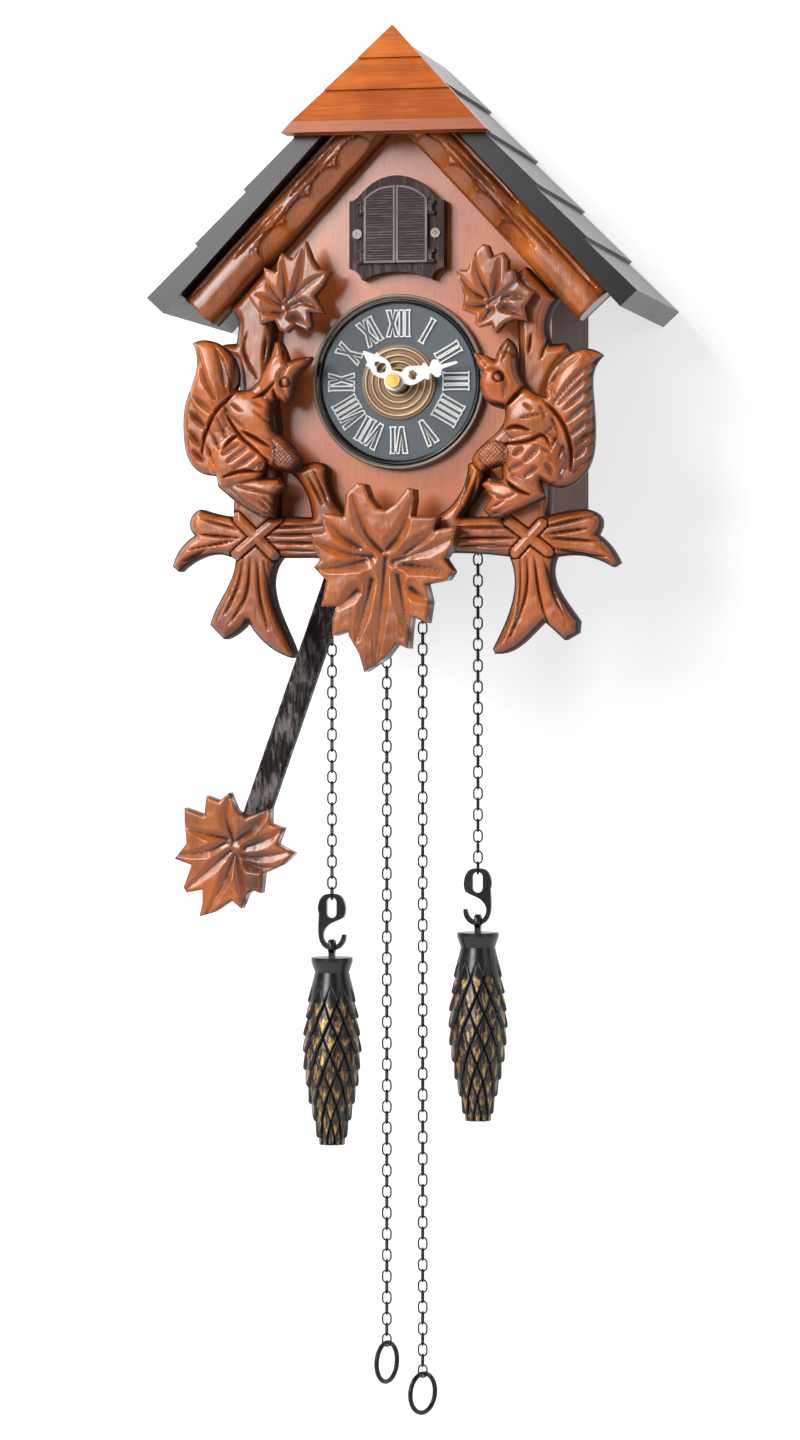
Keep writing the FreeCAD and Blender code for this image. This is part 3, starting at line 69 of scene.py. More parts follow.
# %% [markdown]
# ## Camera
# The clock hangs at eye level and is seen a little from its right. A long lens keeps the roof's lines calm.
# A level camera keeps walls and chains upright; a small vertical shift then frames the long chains
# without tilting it.

# %% Camera
camera = bpy.data.objects.new("camera", bpy.data.cameras.new("camera"))
bpy.context.scene.collection.objects.link(camera)
camera.location = (0.4449, -2.3111, -0.2286)
camera.rotation_euler = (math.radians(90), 0, math.radians(11.46))
camera.data.sensor_width = 36
camera.data.lens = 117
camera.data.shift_y = -0.0406
bpy.context.scene.camera = camera
print("camera", [round(c, 3) for c in camera.location])

# %% [markdown]
# ## Shader sums as Python
# A finish is easier to read as arithmetic than as a picture of boxes. One class wraps a socket, and each
# operator adds the Math node it stands for. Colours and vectors have their own nodes, because a Math node
# would turn a colour grey. Every other node comes from one method, which takes the node's settings first and
# then what goes into its sockets.

# %% The socket class
class Level:
    """A number that varies over a surface: the output socket of some node."""

    def __init__(self, finish, socket):
        self.finish = finish
        self.socket = socket

    def math(self, operation, first, second=None):
        return self.finish.node("ShaderNodeMath", {"operation": operation}, {0: first, 1: second})[0]

    def __add__(self, other):
        return self.math("ADD", self, other)

    def __radd__(self, other):
        return self.math("ADD", other, self)

    def __sub__(self, other):
        return self.math("SUBTRACT", self, other)

    def __rsub__(self, other):
        return self.math("SUBTRACT", other, self)

    def __mul__(self, other):
        return self.math("MULTIPLY", self, other)

    def __rmul__(self, other):
        return self.math("MULTIPLY", other, self)

    def between(self, low, high):
        """0 below low, 1 above high, and a smooth step from one to the other."""
        settings = {"interpolation_type": "SMOOTHSTEP"}
        return self.finish.node("ShaderNodeMapRange", settings, {0: self, 1: low, 2: high, 3: 0.0, 4: 1.0})[0]


class Outputs:
    """A node's outputs, by name or number, ready for arithmetic."""

    def __init__(self, finish, node):
        self.finish = finish
        self.node = node

    def __getitem__(self, key):
        return Level(self.finish, self.node.outputs[key])


print("levels add, subtract, multiply and step")

# %% [markdown]
# ## One finish, one material
# A finish owns a material and knows where it is on the clock: object coordinates are metres from the
# hanging hole, so a grain line has its real width on every piece. Stretching those coordinates along one
# axis turns an even noise into wood fibres.

# %% The finish class
class Finish:
    def __init__(self, name, **surface):
        self.material = bpy.data.materials.new(name)
        self.material.use_nodes = True
        self.tree = self.material.node_tree
        self.shader = self.tree.nodes["Principled BSDF"]
        for socket, value in surface.items():
            self.shader.inputs[self.label(socket)].default_value = value

    def label(self, word):
        """specular_IOR_level names the socket Specular IOR Level."""
        return " ".join(part if part.isupper() else part.title() for part in word.split("_"))

    def node(self, kind, settings=None, sockets=None):
        made = self.tree.nodes.new(kind)
        for key, value in (settings or {}).items():
            setattr(made, key, value)
        for key, value in (sockets or {}).items():
            if value is not None:
                self.feed(made.inputs[key], value)
        return Outputs(self, made)

    def feed(self, socket, value):
        if isinstance(value, Level):
            self.tree.links.new(value.socket, socket)
        else:
            socket.default_value = value

    def place(self, scale=(1, 1, 1)):
        """Object coordinates, stretched."""
        sockets = {"Vector": self.node("ShaderNodeTexCoord")["Object"], "Scale": scale}
        return self.node("ShaderNodeMapping", {"vector_type": "POINT"}, sockets)[0]

    def noise(self, place, scale, detail=3.0, roughness=0.5, distortion=0.0):
        sockets = {"Vector": place, "Scale": scale, "Detail": detail, "Roughness": roughness,
                   "Distortion": distortion}
        return self.node("ShaderNodeTexNoise", None, sockets)[0]

    def attribute(self, name):
        return self.node("ShaderNodeAttribute", {"attribute_name": name})["Fac"]

    def mix(self, share, first, second):
        """A colour part of the way from first to second."""
        return self.node("ShaderNodeMix", {"data_type": "RGBA"}, {0: share, 6: first, 7: second})[2]

    def bump(self, height, distance=1.0, strength=1.0):
        """height times distance is in metres."""
        sockets = {"Height": height, "Distance": distance, "Strength": strength}
        self.set(Normal=self.node("ShaderNodeBump", None, sockets)[0])

    def set(self, **sockets):
        for name, value in sockets.items():
            self.feed(self.shader.inputs[self.label(name)], value)


def tone(red, green, blue):
    """A colour as a screen names it, 0 to 255, in the shader's own even scale of light."""
    linear = [((c / 255 + 0.055) / 1.055) ** 2.4 if c > 10 else c / 255 / 12.92 for c in (red, green, blue)]
    return (*linear, 1.0)


print("amber", [round(c, 3) for c in tone(168, 96, 46)[:3]])

# %% [markdown]
# ## Wall, floor and light
# The clock hangs on a white wall under a soft light from its upper left, and throws a grey shadow to the
# lower right. The wall's colour alone is what the camera sees as white: a glow that only camera and mirror
# rays meet is added to it, so the lamps stay at a plain level. The wall is left out of shadows and bounced
# light, and can be seen through from behind, so the clock's back is as well lit as its front.

# %% Wall and floor
WALL_GREY = 0.62
WALL_GLOW = 0.68
WALL_PLACE = 0.0015
WALL_TOP = 3
REACH = 4
FLOOR_BELOW_RINGS = 0.16


def backdrop(name, corners, behind):
    mesh = bpy.data.meshes.new(name)
    mesh.from_pydata(corners, [], [(0, 1, 2, 3)])
    plane = bpy.data.objects.new(name, mesh)
    bpy.context.scene.collection.objects.link(plane)
    plane.visible_diffuse = False
    plane.visible_shadow = False
    paint = Finish(name + "_paint", base_color=(WALL_GREY, WALL_GREY, WALL_GREY, 1), roughness=1.0)
    paint.shader.inputs["Specular IOR Level"].default_value = 0.0
    rays = paint.node("ShaderNodeLightPath")
    seen = rays["Is Camera Ray"].math("MAXIMUM", rays["Is Camera Ray"], rays["Is Glossy Ray"])
    seen = seen.math("MAXIMUM", seen, rays["Is Transmission Ray"])
    lit = Level(paint, paint.shader.outputs[0])
    glow = paint.node("ShaderNodeEmission", None, {"Color": (1, 1, 1, 1), "Strength": WALL_GLOW})
    both = paint.node("ShaderNodeAddShader", None, {0: lit, 1: glow[0]})
    white = paint.node("ShaderNodeMixShader", None, {0: seen, 1: lit, 2: both[0]})
    clear = paint.node("ShaderNodeBsdfTransparent")
    hidden = paint.node("ShaderNodeNewGeometry")["Backfacing"] if behind else 0.0
    shown = paint.node("ShaderNodeMixShader", None, {0: hidden, 1: white[0], 2: clear[0]})
    output = paint.tree.nodes["Material Output"]
    paint.feed(output.inputs["Surface"], shown[0])
    mesh.materials.append(paint.material)


low = cad_box[0].z - FLOOR_BELOW_RINGS
backdrop("wall", [(-REACH, WALL_PLACE, low), (REACH, WALL_PLACE, low), (REACH, WALL_PLACE, WALL_TOP),
                  (-REACH, WALL_PLACE, WALL_TOP)], True)
backdrop("floor", [(-REACH, -REACH, low), (REACH, -REACH, low), (REACH, REACH, low),
                   (-REACH, REACH, low)], False)
print("floor", round(-low, 3), "m below the hanging hole")

# %% [markdown]
# A large lamp near the viewer's left is mirrored in every lacquered face that looks straight ahead, which
# gives the broad pinkish sheen. A smaller one, higher and nearer the wall, rakes across the carving and
# throws the shadow. A weak one on the right keeps the case's side readable, and the even world light fills
# the rest.

# %% Lamps and world
ROOM_LIGHT = 0.24


def lamp(name, place, aim, power, width, height):
    light = bpy.data.lights.new(name, "AREA")
    light.shape = "RECTANGLE"
    light.size = width
    light.size_y = height
    light.energy = power
    holder = bpy.data.objects.new(name, light)
    bpy.context.scene.collection.objects.link(holder)
    holder.location = place
    holder.rotation_euler = (Vector(aim) - Vector(place)).to_track_quat("-Z", "Y").to_euler()


lamp("sheen", (-0.85, -2.15, 0.50), (0, -0.1, -0.1), 40, 0.9, 0.95)
lamp("key", (-1.35, -1.0, 1.25), (0, -0.1, -0.1), 32, 0.7, 0.7)
lamp("fill", (1.9, -1.3, 0.3), (0, -0.1, -0.2), 7, 1.0, 1.6)
lamp("rear", (0.6, 1.8, 0.9), (0, -0.1, -0.1), 14, 1.4, 1.4)

world = bpy.data.worlds.new("room")
bpy.context.scene.world = world
world.use_nodes = True
background = world.node_tree.nodes["Background"]
rays = world.node_tree.nodes.new("ShaderNodeLightPath")
level = world.node_tree.nodes.new("ShaderNodeMapRange")
level.inputs["To Min"].default_value = ROOM_LIGHT
level.inputs["To Max"].default_value = 1.0
world.node_tree.links.new(rays.outputs["Is Camera Ray"], level.inputs["Value"])
world.node_tree.links.new(level.outputs[0], background.inputs["Strength"])
background.inputs["Color"].default_value = (1, 1, 1, 1)
bpy.context.scene.view_settings.view_transform = "Standard"

# %% [markdown]
# ## Wood
# The clock is lime wood, cut by hand, dipped in an amber stain that settles darker in every hollow, and
# lacquered. So one recipe serves all wooden pieces: slow bands of colour, fine fibres along the grain, a dark
# tint wherever a piece says that it is cut low, which is that stain together with painted shade, a painted
# highlight where it stands proud, and a clear coat that is thin in the hollows. Fibres also lift the surface
# a little, which breaks up the lacquer's shine.

# %% Stained wood
def wood(name, light, dark, grain="z", hollow=None, gloss=0.4, coat=0.45, contrast=1.0, lift=1.0, chips=0.0,
         mirror=0.35):
    """light and dark are the stain's two ends, hollow its tone in cuts together with painted shade, and chips
    how high tool marks are.
    """
    stretch = {"x": (0.05, 1, 1), "y": (1, 0.05, 1), "z": (1, 1, 0.05)}[grain]
    paint = Finish(name)
    along = paint.place(scale=stretch)
    bands = paint.noise(along, 55, 2.0, 0.5, 0.6)
    fibres = paint.noise(along, 900, 3.0, 0.6, 0.3)
    pores = paint.noise(along, 2600, 1.0, 0.5).between(0.60, 0.72)
    cloud = paint.noise(paint.place(), 28, 3.0, 0.55)
    share = (bands - 0.5) * 0.9 * contrast + (fibres - 0.5) * 0.5 * contrast + (cloud - 0.5) * 1.1 + 0.5
    colour = paint.mix(share.between(0.05, 0.95), tone(*dark), tone(*light))
    colour = paint.mix(pores * 0.35, colour, tone(*[c * 0.5 for c in dark]))
    shine = coat
    rough = gloss + (fibres - 0.5) * 0.18 + (cloud - 0.5) * 0.12
    if hollow:
        depth = paint.attribute("depth")
        uneven = (cloud - 0.5) * 0.3 + depth
        # The cuts darken towards hollow: stain settled there and painted shade; the deepest points get a
        # darker painted shade still.
        colour = paint.mix(uneven.between(0.12, 0.85), colour, tone(*hollow))
        colour = paint.mix(uneven.between(0.85, 1.3), colour, tone(*[c * 0.4 for c in hollow]))
        # Painted highlight: points that stand proud of their neighbours are lightened.
        ridge_highlight = tone(*[min(c * 1.25, 240) for c in light])
        colour = paint.mix((0.0 - depth).between(0.05, 0.5) * 0.35, colour, ridge_highlight)
        buried = uneven.between(0.5, 1.0)
        shine = (1.0 - buried) * coat
        rough = rough + buried * 0.3
    paint.set(Base_Color=colour, Roughness=rough, Coat_Weight=shine, Coat_Roughness=0.2,
              Specular_IOR_Level=mirror)
    height = fibres * 0.00015 + bands * 0.00007
    if chips:
        height = height + paint.noise(paint.place(), 150, 1.0, 0.4) * chips
    paint.bump(height, lift)
    return paint.material


carved_wood = wood("carved_wood", (180, 92, 28), (86, 35, 8), "z", (62, 22, 6), 0.36, 0.65, 1.3, chips=0.0009)
leaf_wood = wood("leaf_wood", (180, 94, 29), (90, 38, 8), "z", (66, 24, 6), 0.34, 0.65, 1.3, chips=0.0009)
log_wood = wood("log_wood", (196, 106, 38), (116, 52, 14), "z", (76, 29, 8), 0.36, 0.65, 1.2, chips=0.0005)
panel_wood = wood("panel_wood", (206, 112, 54), (178, 86, 36), "z", None, 0.38, 0.7, 0.7, 0.5)
# The case's sides and bottom take a darker copy of the case wood: painted shade for faces turned from the
# lamps.
shaded_side_wood = wood("shaded_side_wood", (92, 50, 30), (60, 32, 20), "z", None, 0.55, 0.0, 0.8, mirror=0.12)
cap_wood = wood("cap_wood", (206, 106, 28), (150, 68, 12), "x", None, 0.45, 0.2, 1.5)
roof_wood = wood("roof_wood", (30, 24, 22), (16, 13, 12), "y", None, 0.5, 0.45, 0.8, 0.3, mirror=0.1)
plywood = wood("plywood", (176, 138, 98), (146, 106, 70), "z", None, 0.6, 0.0)
shelf_wood = wood("shelf_wood", (186, 150, 108), (158, 118, 78), "x", None, 0.6, 0.0)
print("nine woods")

# %% [markdown]
# ## Moulded plastic, metal and paint
# The bird door and the pendulum rod are moulded in plastic that imitates wood: dark, with a greyish bloom
# dry-brushed over the raised grain. The dial's plastic has the same recipe with hardly any grain. Metals are
# plain, with the small unevenness that rolling and handling leave. One recipe serves the plastics and another
# the metals, so each finish below is a line of its own.

# %% Plastics
def plastic(name, colour, bloom, share=0.35, gloss=0.38, grain=(1, 1, 0.07), speck=0.5, mirror=0.3):
    """bloom is the tone rubbed over the grain, share how much of it shows, and speck how rough it feels."""
    paint = Finish(name, specular_IOR_level=mirror)
    streaks = paint.noise(paint.place(scale=grain), 700, 3.0, 0.6, 0.4)
    cloud = paint.noise(paint.place(), 60, 3.0, 0.55)
    rub = (streaks * 0.6 + cloud * 0.4).between(0.46, 0.62)
    paint.set(Base_Color=paint.mix(rub * share, tone(*colour), tone(*bloom)))
    paint.set(Roughness=gloss + (cloud - 0.5) * 0.25 + rub * 0.08)
    paint.bump(streaks, 0.00012, speck)
    return paint.material


def metal(name, colour, gloss=0.3, tarnish=0.25, dark=0.45):
    paint = Finish(name, metallic=1.0)
    cloud = paint.noise(paint.place(), 240, 4.0, 0.6)
    fine = paint.noise(paint.place(), 2400, 2.0, 0.5)
    worn = (cloud * 0.7 + fine * 0.3).between(0.5, 0.68)
    paint.set(Base_Color=paint.mix(worn * tarnish, tone(*colour), tone(*[c * dark for c in colour])))
    paint.set(Roughness=gloss + (cloud - 0.5) * 0.2)
    paint.bump(fine, 0.00003, 0.5)
    return paint.material


smooth = (1, 1, 1)
house_plastic = plastic("house_plastic", (40, 22, 19), (120, 106, 102), 0.5, 0.42, (1, 1, 0.12), 1.0, 0.15)
shutter_plastic = plastic("shutter_plastic", (48, 30, 27), (140, 124, 118), 0.5, 0.38, (0.1, 1, 1), 0.8)
bezel_plastic = plastic("bezel_plastic", (120, 106, 90), (140, 126, 108), 0.3, 0.3, smooth, 0.05, 0.5)
rim_plastic = plastic("rim_plastic", (8, 8, 8), (24, 23, 22), 0.2, 0.16, smooth, 0.05, 0.5)
slate_plastic = plastic("slate_plastic", (74, 84, 90), (98, 107, 112), 0.4, 0.42, smooth, 0.4)
numeral_plastic = plastic("numeral_plastic", (232, 232, 231), (220, 220, 219), 0.3, 0.5, smooth, 0.1, 0.12)
rod_plastic = plastic("rod_plastic", (24, 13, 13), (150, 142, 139), 0.5, 0.4, (0.9, 1, 0.22), 0.8, 0.15)
black_plastic = plastic("black_plastic", (12, 11, 12), (40, 38, 38), 0.3, 0.3, smooth, 0.3)
works_plastic = plastic("works_plastic", (30, 30, 31), (60, 60, 60), 0.3, 0.45, smooth)
brass = metal("brass", (176, 138, 74), 0.42, 0.35)
steel = metal("steel", (176, 176, 174), 0.3, 0.3)
chain_steel = metal("chain_steel", (46, 44, 42), 0.32, 0.5)
screw_steel = metal("screw_steel", (120, 117, 110), 0.5, 0.4)
can_steel = metal("can_steel", (70, 96, 130), 0.35, 0.2)
print("plastics and metals")

# %% [markdown]
# The weights are iron castings painted nearly black, with gold rubbed over the tips of the scales. The lathe
# below stores how bright each point should be in an attribute, crest. The gold follows that. The rings of
# the dial's foil read it too, as a painted highlight on their crests and painted shade between them.

# %% Cone, bird and board paint
def cone_finish():
    paint = Finish("cone_paint")
    crest = paint.attribute("crest")
    cloud = paint.noise(paint.place(), 420, 4.0, 0.65)
    streaks = paint.noise(paint.place(scale=(1, 1, 0.16)), 900, 4.0, 0.6, 0.5)
    gold = (crest + (streaks - 0.5) * 1.5 + (cloud - 0.5) * 0.6).between(0.62, 0.95)
    paint.set(Base_Color=paint.mix(gold, tone(6, 5, 5), tone(184, 146, 84)))
    paint.set(Metallic=gold * 0.75, Roughness=0.3 + gold * 0.1 + (cloud - 0.5) * 0.15)
    paint.bump(streaks * crest, 0.0004, 0.7)
    return paint.material


def louvre_plastic():
    """Dark slats in a grey raised border; the depth of a point says which of the two it is."""
    paint = Finish("louvre_plastic", specular_IOR_level=0.15)
    lines = paint.noise(paint.place(scale=(0.12, 1, 1)), 1500, 3.0, 0.6, 0.4)
    cloud = paint.noise(paint.place(), 60, 3.0, 0.55)
    slat = paint.mix(lines.between(0.5, 0.72) * 0.45, tone(34, 18, 16), tone(112, 98, 92))
    border = paint.mix(cloud.between(0.35, 0.7) * 0.5, tone(134, 126, 124), tone(92, 82, 80))
    paint.set(Base_Color=paint.mix(paint.attribute("depth").between(0.3, 0.7), border, slat))
    paint.set(Roughness=0.42 + (cloud - 0.5) * 0.2)
    paint.bump(lines, 0.00012, 0.5)
    return paint.material


def ringed_foil():
    paint = Finish("ringed_foil", metallic=0.3)
    crest = paint.attribute("crest")
    cloud = paint.noise(paint.place(), 300, 3.0, 0.6)
    # Painted highlight on the rings' crests, painted shade between them.
    paint.set(Base_Color=paint.mix(crest.between(0.3, 0.95), tone(104, 72, 38), tone(196, 176, 140)))
    paint.set(Roughness=0.3 + (cloud - 0.5) * 0.15)
    return paint.material


def feathers():
    paint = Finish("bird_paint")
    cloud = paint.noise(paint.place(), 300, 3.0, 0.6)
    paint.set(Base_Color=paint.mix(cloud.between(0.35, 0.65), tone(96, 84, 74), tone(150, 138, 126)))
    paint.set(Roughness=0.5 + (cloud - 0.5) * 0.2)
    paint.bump(cloud, 0.0002, 0.6)
    return paint.material


cone_paint = cone_finish()
foil = ringed_foil()
louvres = louvre_plastic()
bird_paint = feathers()
board_green = plastic("board_green", (26, 84, 50), (46, 110, 70), 0.4, 0.4, smooth)
print("cone, foil, louvre, bird and board finishes")

# %% [markdown]
# The CAD nodes that are already the right shape stay, and only trade their plain material for a real one.

# %% Finishes of the nodes that stay
STAYING = {
    "case_front": panel_wood, "case_left_side": shaded_side_wood, "case_right_side": shaded_side_wood,
    "case_bottom": shaded_side_wood, "back_panel": plywood, "rear_door": plywood, "rear_latch": brass,
    "roof_left": roof_wood, "roof_right": roof_wood, "roof_hip": cap_wood, "dial_plate": slate_plastic,
    "hour_hand": numeral_plastic, "minute_hand": numeral_plastic,
    "minute_arbor": brass, "hand_nut": brass, "movement_case": works_plastic, "movement_bush": brass,
    "setting_knob": works_plastic, "battery_cell": can_steel, "speaker": works_plastic,
    "sound_board": board_green, "pendulum_arbor": steel, "pendulum_hanger": steel, "bird_shelf": shelf_wood,
    "bird_drive": works_plastic, "bird_carriage": works_plastic, "bird": bird_paint,
    "door_frame": house_plastic, "door_left": shutter_plastic, "door_right": shutter_plastic,
    "door_hinge_pins": steel, "door_screws": screw_steel, "chain_bracket": steel,
    "chain_wheel_left": brass, "chain_wheel_right": brass, "weight_chain_left": chain_steel,
    "ring_chain_left": chain_steel, "weight_chain_right": chain_steel, "ring_chain_right": chain_steel,
    "weight_hook_left": black_plastic, "weight_hook_right": black_plastic, "pull_ring_left": black_plastic,
    "pull_ring_right": black_plastic,
}


def dress(name, material):
    mesh = nodes[name].data
    mesh.materials.clear()
    mesh.materials.append(material)


for name, material in STAYING.items():
    dress(name, material)
print(len(STAYING), "nodes dressed")

# %% [markdown]
# ## Carving from a sawn blank
# A carver starts with a blank sawn to its outline and cuts down into its face with gouges. The CAD nodes
# are those blanks, so the outline is read from each node's front face, and only the cuts are listed here.
# Sculpting by hand would not give the same result twice. Instead the face becomes a fine triangle mesh,
# every point of it sinks by the cuts that pass over it, and the rim is drawn back to the blank's rear face.

# %% The blank's outline
MM = 0.001
WELD = 1e-6
SAME_LEVEL = 2e-5
OFF_THE_BACK = 2e-4
CLOSEST = 0.4


def front_outline(name):
    """Closed loops of (x, z) points in millimetres round the largest front face, with its front and back."""
    blank = bmesh.new()
    blank.from_mesh(nodes[name].data)
    bmesh.ops.remove_doubles(blank, verts=blank.verts, dist=WELD)
    back = max(v.co.y for v in blank.verts)
    flat = {}
    for face in blank.faces:
        levels = [v.co.y for v in face.verts]
        if max(levels) - min(levels) < SAME_LEVEL and max(levels) < back - OFF_THE_BACK:
            flat.setdefault(round(levels[0], 4), []).append(face)
    front = min(flat, key=lambda level: (-round(sum(f.calc_area() for f in flat[level]), 7), level))
    faces = set(flat[front])
    rim = {}
    for edge in blank.edges:
        if sum(f in faces for f in edge.link_faces) == 1:
            a, b = edge.verts
            rim.setdefault(a, []).append(b)
            rim.setdefault(b, []).append(a)
    loops = []
    while rim:
        first = next(iter(rim))
        loop, last, now = [first], None, first
        while True:
            following = next((v for v in rim[now] if v is not last and v not in loop[1:]), None)
            if following is None or following is first:
                break
            loop.append(following)
            last, now = now, following
        for v in loop:
            rim.pop(v, None)
        loops.append(np.array([(v.co.x, v.co.z) for v in loop]) / MM)
    blank.free()
    return [loop for loop in loops if len(loop) > 2], front / MM, back / MM


def even_steps(loop, step):
    """The same outline in stretches of about a step; a point too close to the last one is dropped."""
    points = []
    for start, end in zip(loop, np.roll(loop, -1, 0)):
        count = max(1, int(np.ceil(np.hypot(*(end - start)) / step)))
        points += [start + (end - start) * k / count for k in range(count)]
    kept = [points[0]]
    for point in points[1:]:
        if np.hypot(*(point - kept[-1])) > CLOSEST * step:
            kept.append(point)
    return np.array(kept)


def inside(points, loop):
    """Which points lie inside a loop: a line from such a point crosses it an odd number of times."""
    hit = np.zeros(len(points), bool)
    for (x0, z0), (x1, z1) in zip(loop, np.roll(loop, -1, 0)):
        if z0 != z1:
            crosses = (points[:, 1] > z0) != (points[:, 1] > z1)
            hit ^= crosses & (points[:, 0] < (x1 - x0) * (points[:, 1] - z0) / (z1 - z0) + x0)
    return hit


print("outline of", len(front_outline("leaf_bottom")[0][0]), "points")

# %% [markdown]
# Each cut is a function of position. A V gouge is widest in the middle of its stroke and runs out at both
# ends; a vein starts wide at the leaf's hub; a mound leaves wood standing; the bevel rounds the rim.

# %% The gouges
def along(points, path):
    """Distance of each point from a bent line, and how far along that line it lies, 0 to 1."""
    path = np.array(path, float)
    lengths = np.hypot(*np.diff(path, axis=0).T)
    total = lengths.sum()
    best = np.full(len(points), 1e9)
    where = np.zeros(len(points))
    done = 0.0
    for start, end, length in zip(path[:-1], path[1:], lengths):
        share = np.clip(((points - start) @ (end - start)) / length ** 2, 0, 1)
        gap = np.hypot(*(points - start - share[:, None] * (end - start)).T)
        nearer = gap < best
        best[nearer] = gap[nearer]
        where[nearer] = (done + share[nearer] * length) / total
        done += length
    return best, where


def smooth_path(path):
    """Corners of a bent line cut off twice, as a wrist turns."""
    path = np.array(path, float)
    for _ in range(2):
        if len(path) < 3:
            break
        first = path[:-1] * 0.75 + path[1:] * 0.25
        second = path[:-1] * 0.25 + path[1:] * 0.75
        path = np.vstack([path[:1], np.column_stack([first, second]).reshape(-1, 2)[1:-1], path[-1:]])
    return path


def gouge(points, path, width, depth, shape="lens"):
    """Depth of a V groove, a lens or a vein: width is its half width."""
    gap, where = along(points, smooth_path(path))
    if shape == "vein":
        spread = np.clip(1.15 - where, 0.12, 1) ** 0.7
    else:
        spread = np.sqrt(np.clip(4 * where * (1 - where), 0, 1)) * 0.9 + 0.1
    return depth * spread * np.clip(1 - gap / (width * spread), 0, 1)


def gouges(points, paths, width, depth, shape="lens"):
    return np.max([gouge(points, path, width, depth, shape) for path in paths], axis=0)


def mound(points, centre, radii, tilt=0.0):
    """1 in the middle of an oval, falling to 0 at its rim."""
    turn = math.radians(tilt)
    off = points - np.array(centre)
    u = (off[:, 0] * math.cos(turn) + off[:, 1] * math.sin(turn)) / radii[0]
    v = (-off[:, 0] * math.sin(turn) + off[:, 1] * math.cos(turn)) / radii[1]
    return np.clip(1 - u * u - v * v, 0, 1) ** 0.5


def bevel(rim, width, depth):
    """Depth of a rounded edge; rim is the distance to the outline."""
    return depth * np.clip(1 - rim / width, 0, 1) ** 1.7


print("V groove 1 mm deep at its middle:", gouge(np.array([[5.0, 0.0]]), [(0, 0), (10, 0)], 1, 1).round(2))

# %% [markdown]
# The relief mesh uses a constrained Delaunay triangulation, which keeps the outline exact and fills it with
# even triangles. A relief says how much stain and painted shade each point holds, and a point that lies
# lower than its neighbours gets more painted shade, one that lies higher a painted highlight. The sum is
# kept as an attribute, depth, which the wood's recipe reads.

# %% From blank to carving
GRAIN_STEP = 0.6
ROW_HEIGHT = 0.866
RIM_CLEARANCE = 0.45
DEEPEST = 0.8
# CAVITY_SHADING turns how far a point lies below its neighbours into painted shade, and above them into a
# painted highlight.
CAVITY_SHADING = 0.7
# SIDE_WALL_SHADE is painted shade on a carving's side walls.
SIDE_WALL_SHADE = 0.8
LET_IN = 0.15
CARVED_ANGLE = 42


def cavity(drop, faces, count, rounds=10):
    """How much deeper each point lies than the mean of its neighbourhood, in millimetres."""
    triangles = np.array(faces)
    pairs = np.vstack([triangles[:, [0, 1]], triangles[:, [1, 2]], triangles[:, [2, 0]]])
    pairs = np.vstack([pairs, pairs[:, ::-1]])
    near = np.maximum(np.bincount(pairs[:, 0], minlength=count), 1)
    level = drop
    for _ in range(rounds):
        level = np.bincount(pairs[:, 0], weights=level[pairs[:, 1]], minlength=count) / near
    return drop - level


def nearest_rim(points, loops):
    tree = KDTree(sum(len(loop) for loop in loops) * 3)
    count = 0
    for loop in loops:
        for start, end in zip(loop, np.roll(loop, -1, 0)):
            for share in (0, 1 / 3, 2 / 3):
                x, z = start + (end - start) * share
                tree.insert((x, z, 0), count)
                count += 1
    tree.balance()
    return np.array([tree.find((x, z, 0))[2] for x, z in points])


def place_piece(shape, name, body, slot, material, angle, *replaced):
    """Turn a finished shape into a piece on its body. Edges sharper than angle stay crisp."""
    bmesh.ops.recalc_face_normals(shape, faces=shape.faces)
    mesh = bpy.data.meshes.new(name)
    shape.to_mesh(mesh)
    shape.free()
    mesh.shade_smooth()
    mesh.set_sharp_from_angle(angle=math.radians(angle))
    mesh.materials.append(material)
    piece = bpy.data.objects.new(name, mesh)
    bpy.context.scene.collection.objects.link(piece)
    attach(piece, body)
    if replaced:
        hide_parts(*replaced)
    print(name, len(mesh.vertices), "points")


